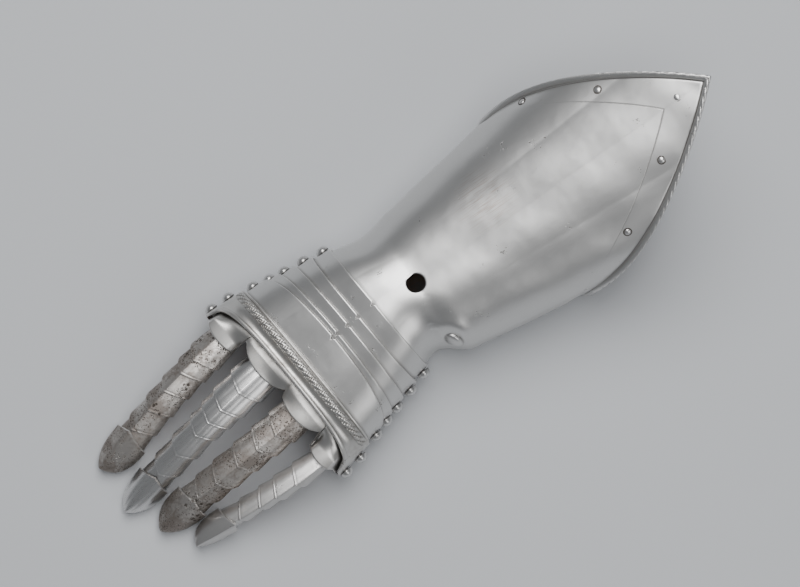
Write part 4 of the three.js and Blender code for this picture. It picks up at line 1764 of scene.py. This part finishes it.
    def build(self) -> None:
        """Builds and dresses the plate and its rope."""
        mesh = PlateMesh(220, 110)
        mesh.wall(lambda u, v: self.surface(0, u, v), lambda u, v: self.surface(1, u, v))
        dress(mesh.make("knuckle_plate_steel"), Finish.KNUCKLE, self.body, "knuckle_plate")
        rope = PlateMesh(900, 22)
        rope.place(list(rope.bm.verts), self.strands)
        rope.weld()
        bmesh.ops.holes_fill(rope.bm, edges=rope.bm.edges, sides=0)
        bmesh.ops.recalc_face_normals(rope.bm, faces=rope.bm.faces)
        dress(rope.make("knuckle_rope", 50.0), Finish.KNUCKLE, self.body)


# ---- Fingers ----------------------------------------------------------------------------------

SCALE_SIDE_ANGLE = 80.0
SCALE_DEPTH = 8.6
SCALE_VEE = 4.0
TIP_VEE = 5.4
SCALE_LAP = 4.6
FINGER_START_SLOPE = math.tan(math.radians(8))
ROLL_DEPTH = 8.0
KEEL_RISE = 0.7
KEEL_ANGLE = 20.0
SIDE_RUN = 0.19
SIDE_ROUNDING = 0.4


def base_lift(angle: Array, reach: Array) -> Array:
    """Lift of the finger-base plate over the hand surface.

    Args:
        angle: angles round the section.
        reach: reaches from the wrist.

    Returns:
        The lifts.
    """
    corner = 0.6 * bell(np.abs(angle) - 68, 13)
    dip = 0.16 * np.maximum(0.0, FINGER_BASE_RIVET - 3 - reach)
    lift = HandSurface.edge_lift(KNUCKLE_NUMBER, angle)
    return lift - PLATE_THICKNESS - LAP_GAP - 0.9 - corner - dip


@dataclass(frozen=True)
class Finger:
    """One finger: its scales, its fingertip plate and the leather under them."""

    name: str
    root: tuple[float, float]
    tip: tuple[float, float]
    lobe: float
    edges: tuple[float, ...]
    tip_edge: float
    half: float
    tip_half: float
    roll: float
    tip_height: float
    finish: Finish
    body: str = "finger_body"
    bevel: float = 0.5

    def share(self, reach: Array) -> Array:
        """How far a reach is from the root to the tip, 0 to 1."""
        return (reach - self.root[0]) / (self.tip[0] - self.root[0])

    def across(self, reach: Array) -> Array:
        """Place of the middle of the finger across the hand."""
        return lerp(self.root[1], self.tip[1], np.maximum(0.0, self.share(reach)) ** 1.5)

    def root_height(self) -> float:
        """Height of the crest at the root, just under the finger-base plate.

        Returns:
            The height in millimetres.
        """
        angle = np.arange(-80.0, 80.01, 0.5)
        section = HandSurface.section(np.float64(self.root[0]))
        lift = base_lift(angle, np.float64(FINGER_BASE_RIVET)) - PLATE_THICKNESS - SCALE_GAP - 0.6
        y, z = section.point(angle, lift)
        return float(z[np.argmin(np.abs(y - self.root[1]))])

    def crest(self, reach: Array) -> Array:
        """Height of the crest line.

        Args:
            reach: reaches from the wrist.

        Returns:
            The heights.
        """
        run = reach - self.root[0]
        length = self.tip[0] - self.root[0]
        top = self.root_height()
        bend = (top - self.tip_height - length * FINGER_START_SLOPE) / length**2
        return top - run * FINGER_START_SLOPE - bend * run * run

    def centre(self, reach: Array) -> Array:
        """Points of the crest line."""
        return stack(-reach, self.across(reach), self.crest(reach))

    def point(
        self, reach: Array, angle: Array, lift: Array, width: Array = 1.0, depth: Array = 1.0
    ) -> Array:
        """Points of the finger's gutter.

        Args:
            reach: reach of each point.
            angle: angle from the crest.
            lift: distance outwards.
            width: share of the finger's half width.
            depth: share of the gutter's depth.

        Returns:
            Points in the hand's frame.
        """
        centre = self.centre(reach)
        along = self.centre(reach + 0.5) - self.centre(reach - 0.5)
        along /= np.linalg.norm(along, axis=-1, keepdims=True)
        side = -np.cross(np.array([0.0, 0.0, 1.0]), along)
        side /= np.linalg.norm(side, axis=-1, keepdims=True)
        up = np.cross(side, along)
        up *= np.where(up[..., 2:] < 0, -1.0, 1.0)
        turn, limit = np.radians(angle), math.radians(SCALE_SIDE_ANGLE)
        half = width * lerp(self.half, self.tip_half, self.share(reach))
        sideways = half * np.sin(turn) / math.sin(limit) + lift * np.sin(turn)
        drop = depth * SCALE_DEPTH * (1 - np.cos(turn)) / (1 - math.cos(limit))
        high = ROLL_DEPTH - drop + lift * np.cos(turn) + self.facet(angle)
        roll = math.radians(self.roll)
        rise = -ROLL_DEPTH + high * math.cos(roll) - sideways * math.sin(roll)
        shift = sideways * math.cos(roll) + high * math.sin(roll)
        return centre + up * rise[..., None] + side * shift[..., None]

    @staticmethod
    def facet(angle: Array) -> Array:
        """Rise of the keel, which gives a scale two flatter facets that meet at the crest."""
        away = np.abs(angle)
        return KEEL_RISE * np.maximum(0.0, 1 - away / KEEL_ANGLE)

    def lifts(self) -> tuple[list[float], list[float]]:
        """Reach and lift of each scale's exposed end.

        Returns:
            The reaches, then the lifts, one of each for a scale.
        """
        ends = [*self.edges, self.tip_edge + TIP_VEE + SCALE_LAP]
        lifts, lift, last = [], 0.0, self.lobe
        for number, end in enumerate(ends):
            if number:
                lift += SCALE_TILT * (end - last) - SCALE_THICKNESS - SCALE_GAP
            lifts.append(lift)
            last = end
        return ends, lifts

    def scale(self, number: int, layer: int, u: Array, v: Array) -> Patch:
        """The outer (layer 0) or inner (layer 1) face of a scale.

        Args:
            number: place of the scale on the finger, from 0.
            layer: 0 for the outer face, 1 for the inner one.
            u: shares of the columns, 0 to 1.
            v: shares of the rows, 0 to 1.

        Returns:
            The points of the face.
        """
        ends, lifts = self.lifts()
        start = (self.lobe - 1.5 if number == 0 else ends[number - 1]) - SCALE_LAP
        angle = SCALE_SIDE_ANGLE * centred(u, 0.6)
        vee = SCALE_VEE * np.abs(angle) / SCALE_SIDE_ANGLE
        last = number == len(ends) - 1
        end = ends[number] - (0.6 if last else 1.0) * vee
        run = 1 - (1 - v) * (0.4 + 0.6 * (1 - v))
        reach = lerp(start - vee, end, run)
        lift = lifts[number] - SCALE_TILT * (ends[number] - reach - vee)
        from_end = end - reach
        from_side = (SCALE_SIDE_ANGLE - np.abs(angle)) * SIDE_RUN
        if layer:
            lift = lift - SCALE_THICKNESS
        else:
            lift = lift - rounded_edge(from_end, self.bevel) - rounded_edge(from_side, SIDE_ROUNDING)
            lift = lift - 0.10 * bell(from_end - 1.25, 0.22)
        # Painted shadow under and just beyond the end of the scale before, which laps over this one.
        covered = start + SCALE_LAP - vee - reach
        painted_shade = 0.5 * smoothstep(covered, -0.9, 0.3) if layer == 0 else np.zeros_like(u)
        points = HAND.to_row(self.point(reach, angle, lift))
        return Patch(points, np.minimum(from_end, from_side), painted_shade)

    def tip_surface(self, layer: int, u: Array, v: Array) -> Patch:
        """The outer (layer 0) or inner (layer 1) face of the fingertip plate.

        Args:
            layer: 0 for the outer face, 1 for the inner one.
            u: shares of the columns, 0 to 1.
            v: shares of the rows, 0 to 1.

        Returns:
            The points of the face.
        """
        _, lifts = self.lifts()
        lift = lifts[-1] + SCALE_THICKNESS + SCALE_GAP
        share = v * (0.45 + 0.55 * v)
        along = np.sin(np.pi / 2 * share)
        angle = SCALE_SIDE_ANGLE * centred(u, 0.6)
        edge = self.tip_edge + TIP_VEE * np.abs(angle) / SCALE_SIDE_ANGLE
        thickness = layer * SCALE_THICKNESS
        reach = lerp(edge, self.tip[0] - thickness, along)
        narrow = np.sqrt(1 - 0.93 * along**3)
        depth = lerp(1.0, 0.52, along**2)
        from_edge = reach - edge
        from_side = (SCALE_SIDE_ANGLE - np.abs(angle)) * SIDE_RUN
        lift = lift - thickness + np.zeros_like(u)
        if not layer:
            lift = lift - rounded_edge(from_edge, self.bevel) - rounded_edge(from_side, SIDE_ROUNDING)
        points = HAND.to_row(self.point(reach, angle, lift, narrow, depth))
        return Patch(points, np.minimum(from_edge, from_side), np.zeros_like(u))

    def strap_surface(self, layer: int, u: Array, v: Array) -> Patch:
        """The outer (layer 0) or inner (layer 1) face of the leather strap.

        Args:
            layer: 0 for the outer face, 1 for the inner one.
            u: shares of the columns, 0 to 1.
            v: shares of the rows, 0 to 1.

        Returns:
            The points of the face.
        """
        ends, lifts = self.lifts()
        starts = [self.lobe, *ends]
        lengths = [end - start + SCALE_LAP for end, start in zip(ends, starts)]
        lowest = min(lift - SCALE_TILT * length for lift, length in zip(lifts, lengths))
        top = lowest - SCALE_THICKNESS - 0.4
        inner = 104.0 if self.name == "little" else 62.0
        angle = lerp(-62.0, inner, u)
        reach = lerp(self.lobe - 5, self.tip[0] - 9, v)
        wrinkle = 0.12 * np.sin(reach * 1.9 + 0.8 * np.sin(angle / 9.0)) * smoothstep(angle, 60, 90)
        lift = np.full_like(u, top - layer * 1.6) + wrinkle
        points = HAND.to_row(self.point(reach, angle, lift))
        return Patch(points, np.full_like(u, PLAIN), np.zeros_like(u))

    def build(self) -> None:
        """Builds and dresses the finger's pieces."""
        for number in range(len(self.edges) + 1):
            mesh = PlateMesh(56, 26)
            mesh.wall(
                lambda u, v: self.scale(number, 0, u, v), lambda u, v: self.scale(number, 1, u, v)
            )
            piece = mesh.make(f"{self.name}_scale_{number + 1}")
            dress(piece, self.finish, self.body, f"{self.name}_plate_{number + 1}")
        tip = PlateMesh(60, 48)
        tip.wall(lambda u, v: self.tip_surface(0, u, v), lambda u, v: self.tip_surface(1, u, v))
        dress(tip.make(f"{self.name}_tip"), self.finish, self.body, f"{self.name}_tip_plate")
        strap = PlateMesh(40, 120)
        strap.wall(
            lambda u, v: self.strap_surface(0, u, v), lambda u, v: self.strap_surface(1, u, v)
        )
        leather = strap.make(f"{self.name}_leather")
        for face in leather.data.polygons:
            face.material_index = 0
        dress(leather, Finish.LEATHER, self.body, f"{self.name}_strap")


FINGERS = (
    Finger(
        "index", (62, 34.2), (148, 24.0), 69.3, (83.4, 91.9, 103.1, 114.4, 126.1), 126.2,
        9.9, 8.6, 15, 5.8, Finish.BROWNED,
    ),
    Finger(
        "middle", (60, 10.4), (152, 3.6), 64.6, (77.6, 89.2, 97.5, 105.8, 118.3, 130.3), 131.1,
        11.3, 7.4, -4, 5.4, Finish.BRIGHT,
    ),
    Finger(
        "ring", (60, -15.2), (144.4, -12.6), 65.2, (76.9, 87.8, 99.5, 112.1, 123.1), 123.6,
        10.3, 7.6, -12, 5.8, Finish.BROWNED,
    ),
    Finger(
        "little", (62, -37.6), (136, -26.4), 69.4, (84.0, 95.0, 103.6, 114.2), 115.6,
        7.4, 6.0, -30, 8.0, Finish.LITTLE,
    ),
)


@dataclass(frozen=True)
class FingerBase:
    """The lobed plate over the roots of the fingers."""

    top: float = 51.2
    lobe_start: float = 56.0
    creases: tuple[float, ...] = (26.2, -4.6, -29.0)
    shoulder: float = 2.6
    clearance: float = 0.3
    lean_share: float = 0.55
    columns: int = 260
    rows: int = 60

    def lobe_height(self, finger: Finger, reach: Array, across: Array) -> Array:
        """Height of the lobed end over a finger.

        Args:
            finger: the finger under the lobe.
            reach: reaches from the wrist.
            across: places across the hand.

        Returns:
            The heights.
        """
        local = across - finger.across(reach) + ROLL_DEPTH * math.sin(math.radians(-finger.roll))
        half = finger.half + SCALE_THICKNESS + self.shoulder
        bulge = np.sqrt(np.maximum(0.0, 1 - np.minimum(1.0, (local / half) ** 2)))
        rise = PLATE_THICKNESS + SCALE_GAP + self.clearance
        lean = local * math.sin(math.radians(finger.roll)) * self.lean_share
        return finger.crest(reach) + rise - (SCALE_DEPTH - self.shoulder) * (1 - bulge) - lean

    def lobed_end(self, finger: Finger, across: Array) -> Array:
        """Reach of the lobed edge over a finger.

        Args:
            finger: the finger under the lobe.
            across: places across the hand.

        Returns:
            The reaches of the edge.
        """
        middle = finger.across(np.float64(finger.lobe))
        local = np.minimum(1.0, np.abs(across - middle) / (finger.half + 3.2))
        return finger.lobe - 5.2 * local**2.4

    def chosen(self, across: Array, values: Sequence[Array]) -> Array:
        """For each point, the value of the finger that its lobe belongs to."""
        number = sum((across < crease).astype(int) for crease in self.creases)
        return np.choose(number, values)

    def surface(self, layer: int, u: Array, v: Array) -> Patch:
        """The outer (layer 0) or inner (layer 1) face.

        Args:
            layer: 0 for the outer face, 1 for the inner one.
            u: shares of the columns, 0 to 1.
            v: shares of the rows, 0 to 1.

        Returns:
            The points of the face.
        """
        angle = HAND_SIDE_ANGLE * (2 * u - 1)
        away = np.abs(angle)
        flank = smoothstep(away, 66, 80)
        side_start = FINGER_BASE_RIVET - RIVET_MARGIN + 0.3
        start = lerp(self.top, side_start, smoothstep(away, 40, 75))
        at_rivet = np.full_like(u, FINGER_BASE_RIVET)
        across = HandSurface.point(at_rivet, angle, base_lift(angle, at_rivet))[..., 1]
        end = self.chosen(across, [self.lobed_end(finger, across) for finger in FINGERS])
        end = lerp(end, FINGER_BASE_RIVET + RIVET_MARGIN + 0.6, flank)
        reach = lerp(start, end, 1 - (1 - v) * (0.5 + 0.5 * (1 - v)))
        lift = base_lift(angle, reach) - layer * PLATE_THICKNESS
        points = HandSurface.point(reach, angle, lift)
        raised = smoothstep(reach, self.lobe_start, self.lobe_start + 8) * (1 - flank)
        heights = [self.lobe_height(finger, reach, points[..., 1]) for finger in FINGERS]
        lobe = self.chosen(across, heights) - layer * PLATE_THICKNESS
        crease = sum(bell(across - crease, 1.1) for crease in self.creases)
        from_edge = end - reach
        if not layer:
            lobe = lobe - rounded_edge(from_edge, 0.55) - 0.5 * crease * raised
        points[..., 2] = lerp(points[..., 2], lobe, raised)
        # Painted shade in the creases between the lobes and along the start, under the knuckle plate's edge.
        painted_shade = np.clip(0.7 * crease * raised + 0.5 * (1 - smoothstep(reach, 55, 59)), 0, 1)
        return Patch(HAND.to_row(points), from_edge, painted_shade if not layer else np.zeros_like(u))

    def build(self) -> None:
        """Builds and dresses the plate."""
        mesh = PlateMesh(self.columns, self.rows)
        mesh.wall(lambda u, v: self.surface(0, u, v), lambda u, v: self.surface(1, u, v))
        piece = mesh.make("finger_base_steel")
        dress(piece, Finish.KNUCKLE, "finger_body", "finger_base_plate")


# ---- Side rivets ------------------------------------------------------------------------------


@dataclass(frozen=True)
class SideRivets:
    """The domed rivets that the hand plates turn on, seven on each side."""

    shank: float = 1.5
    head: float = 3.2
    dome_height: float = 2.85
    tail: float = 2.4
    tail_height: float = 0.8
    gap: float = 0.35

    def wall(self, number: int, reach: float) -> float:
        """Distance from the hand's middle to a plate at the height of the rivets.

        Args:
            number: the plate: -1 for the cuff, past the last for the finger base.
            reach: its reach from the wrist.

        Returns:
            The distance in millimetres.
        """
        half = float(HandSurface.section(np.float64(reach)).half)
        if number < 0:
            beyond = max(0.0, reach - float(HAND_PLATES[0].edge(np.float64(90))))
            return half - NECK_TILT * beyond
        if number > KNUCKLE_NUMBER:
            return half + float(base_lift(np.float64(90), np.float64(FINGER_BASE_RIVET)))
        return half + float(HandSurface.plate_lift(number, np.float64(90), np.float64(reach)))

    def profile(self, inner: float, outer: float) -> list[tuple[float, float]]:
        """Profile of a rivet from its tail to its crown.

        Args:
            inner: where its tail ends.
            outer: where its head starts.

        Returns:
            Radius and height of each point.
        """
        turns = np.linspace(0.0, math.pi / 2, 13)
        profile = [
            (0.0, inner - self.tail_height), (self.tail, inner - self.tail_height),
            (self.tail, inner), (self.shank, inner), (self.shank, outer - 0.25),
            (self.head * 0.93, outer - 0.25),
        ]
        profile += [
            (self.head * math.cos(t), outer + self.dome_height * math.sin(t)) for t in turns[:-1]
        ]
        return [*profile, (0.0, outer + self.dome_height)]

    def build(self) -> None:
        """Builds and dresses the rivets."""
        rivets = [plate.rivet for plate in HAND_PLATES] + [FINGER_BASE_RIVET]
        for number, reach in enumerate(rivets):
            last = number == len(rivets) - 1
            lower = number if last else number - 1
            upper = number - 1 if last else number
            thickness = CUFF_THICKNESS if number == 0 else PLATE_THICKNESS
            outer = max(self.wall(upper, reach + d) for d in (-self.head, self.head))
            inner = min(self.wall(lower, reach + d) for d in (-self.tail, self.tail)) - thickness
            body = HAND_PLATES[min(number, KNUCKLE_NUMBER)].body
            for side, name in ((1, "index_side"), (-1, "little_side")):
                self.build_one(reach, inner - self.gap, outer + self.gap, side, name, number, body)

    def build_one(
        self, reach: float, inner: float, outer: float, side: int, name: str, number: int, body: str
    ) -> None:
        """Builds and dresses one rivet.

        Args:
            reach: its reach from the wrist.
            inner: distance of its tail's upper face from the hand's middle.
            outer: distance of its head's foot from the hand's middle.
            side: 1 on the index side, -1 on the little-finger side.
            name: the side's word in the node's name.
            number: its place in the row, from 0.
            body: the body that it moves with.
        """
        bm = bmesh.new()
        edge_layer = bm.verts.layers.float.new("edge")
        painted_shade_layer = bm.verts.layers.float.new("painted_shade")
        verts = lathe(bm, self.profile(inner, outer), 36)
        turn = Matrix.Rotation(HAND.turn, 4, "Z")
        lay = Matrix.Rotation(-side * math.pi / 2, 4, "X")
        shift = Matrix.Translation((-reach, 0.0, PIVOT_HEIGHT))
        whole = Matrix.Scale(MM, 4) @ Matrix.Translation(HAND.wrist) @ turn @ shift @ lay
        for vert in verts:
            radius = math.hypot(vert.co.x, vert.co.y)
            around = math.atan2(vert.co.y, vert.co.x)
            above = vert.co.z - outer
            vert[edge_layer] = PLAIN
            # Painted shade on the shank, the tail and the underside of the head, below the head's foot.
            vert[painted_shade_layer] = 0.8 if above < 0.1 else 0.0
            if above > 0.2 and radius > 0.3:
                flute = 1 - 0.05 * abs(math.sin(2.0 * around)) ** 0.5
                vert.co.x *= flute
                vert.co.y *= flute
        bmesh.ops.transform(bm, matrix=whole, verts=bm.verts)
        bmesh.ops.recalc_face_normals(bm, faces=bm.faces)
        piece = finish_mesh(bm, f"{name}_rivet_{number + 1}")
        dress(piece, Finish.RIVET, body, f"pivot_rivet_{name}_{number + 1}")


# ---- Studio -----------------------------------------------------------------------------------


@dataclass(frozen=True)
class SoftBox:
    """A soft light: where it stands round the object, its size and its power."""

    name: str
    azimuth: float
    elevation: float
    distance: float
    size: float
    watts: float

    def build(self, aim: Vector) -> None:
        """Makes the light, facing the aim.

        Args:
            aim: the point that the light faces.
        """
        data = bpy.data.lights.new(self.name, "AREA")
        data.shape = "DISK"
        data.size = self.size
        data.energy = self.watts
        light = bpy.data.objects.new(self.name, data)
        bpy.context.scene.collection.objects.link(light)
        away = direction(self.azimuth, self.elevation)
        light.location = aim + away * self.distance
        light.rotation_euler = away.to_track_quat("Z", "Y").to_euler()
        light.visible_camera = False


def direction(azimuth: float, elevation: float) -> Vector:
    """Unit vector towards a viewer at an azimuth and an elevation."""
    a, e = math.radians(azimuth), math.radians(elevation)
    return Vector((math.sin(a) * math.cos(e), -math.cos(a) * math.cos(e), math.sin(e)))


@dataclass(frozen=True)
class Studio:
    """Camera, pale floor and soft lights."""

    azimuth: float = -34.0
    elevation: float = 84.0
    distance: float = 2.0
    view_width: float = 0.368
    aim_right: float = -7.27
    aim_up: float = -4.83
    floor_grey: Colour = (0.40, 0.41, 0.425, 1.0)
    boxes: tuple[SoftBox, ...] = (
        SoftBox("key", 150.0, 62.0, 1.3, 1.1, 20.0),
        SoftBox("top", 20.0, 80.0, 1.5, 0.9, 12.0),
        SoftBox("fill", 10.0, 28.0, 1.6, 0.9, 5.0),
    )
    ambient: float = 0.22

    def aim(self) -> Vector:
        """The point that the camera looks at.

        Returns:
            The point, in metres.
        """
        a, e = math.radians(self.azimuth), math.radians(self.elevation)
        right = Vector((math.cos(a), math.sin(a), 0.0))
        up = Vector((-math.sin(a) * math.sin(e), math.cos(a) * math.sin(e), math.cos(e)))
        hole = Vector(Cuff().to_row(np.array([0.0, 0.0, Cuff().crest_at_wrist])))
        return (hole + right * self.aim_right + up * self.aim_up) * MM

    def build_camera(self) -> None:
        """Makes the camera."""
        data = bpy.data.cameras.new("camera")
        data.sensor_width = 36.0
        data.lens = 36.0 * self.distance / self.view_width
        camera = bpy.data.objects.new("camera", data)
        bpy.context.scene.collection.objects.link(camera)
        back = direction(self.azimuth, self.elevation)
        camera.location = self.aim() + back * self.distance
        camera.rotation_euler = back.to_track_quat("Z", "Y").to_euler()
        data.clip_start, data.clip_end = 0.05, 20.0
        bpy.context.scene.camera = camera

    def build_floor(self) -> None:
        """Makes the floor."""
        bm = bmesh.new()
        bmesh.ops.create_grid(bm, x_segments=2, y_segments=2, size=4.0)
        mesh = bpy.data.meshes.new("floor")
        bm.to_mesh(mesh)
        bm.free()
        floor = bpy.data.objects.new("floor", mesh)
        bpy.context.scene.collection.objects.link(floor)
        material = bpy.data.materials.new("Pale floor")
        material.use_nodes = True
        shader = material.node_tree.nodes["Principled BSDF"]
        shader.inputs["Base Color"].default_value = self.floor_grey
        shader.inputs["Roughness"].default_value = 0.9
        shader.inputs["Specular IOR Level"].default_value = 0.1
        mesh.materials.append(material)

    def build_world(self) -> None:
        """Makes the even light from all round."""
        world = bpy.data.worlds.new("studio")
        world.use_nodes = True
        background = world.node_tree.nodes["Background"]
        background.inputs["Color"].default_value = (0.93, 0.96, 1.0, 1.0)
        background.inputs["Strength"].default_value = self.ambient
        bpy.context.scene.world = world

    def build(self) -> None:
        """Builds the whole studio."""
        self.build_camera()
        self.build_floor()
        self.build_world()
        for box in self.boxes:
            box.build(self.aim())


def main() -> None:
    """Builds the sub-assemblies in order and reports them."""
    logging.basicConfig(level=logging.INFO, format="%(name)s: %(message)s")
    Studio().build()
    Cuff().build()
    LamePack().build()
    KnucklePlate().build()
    FingerBase().build()
    for finger in FINGERS:
        finger.build()
    SideRivets().build()


if __name__ == "__main__":
    main()
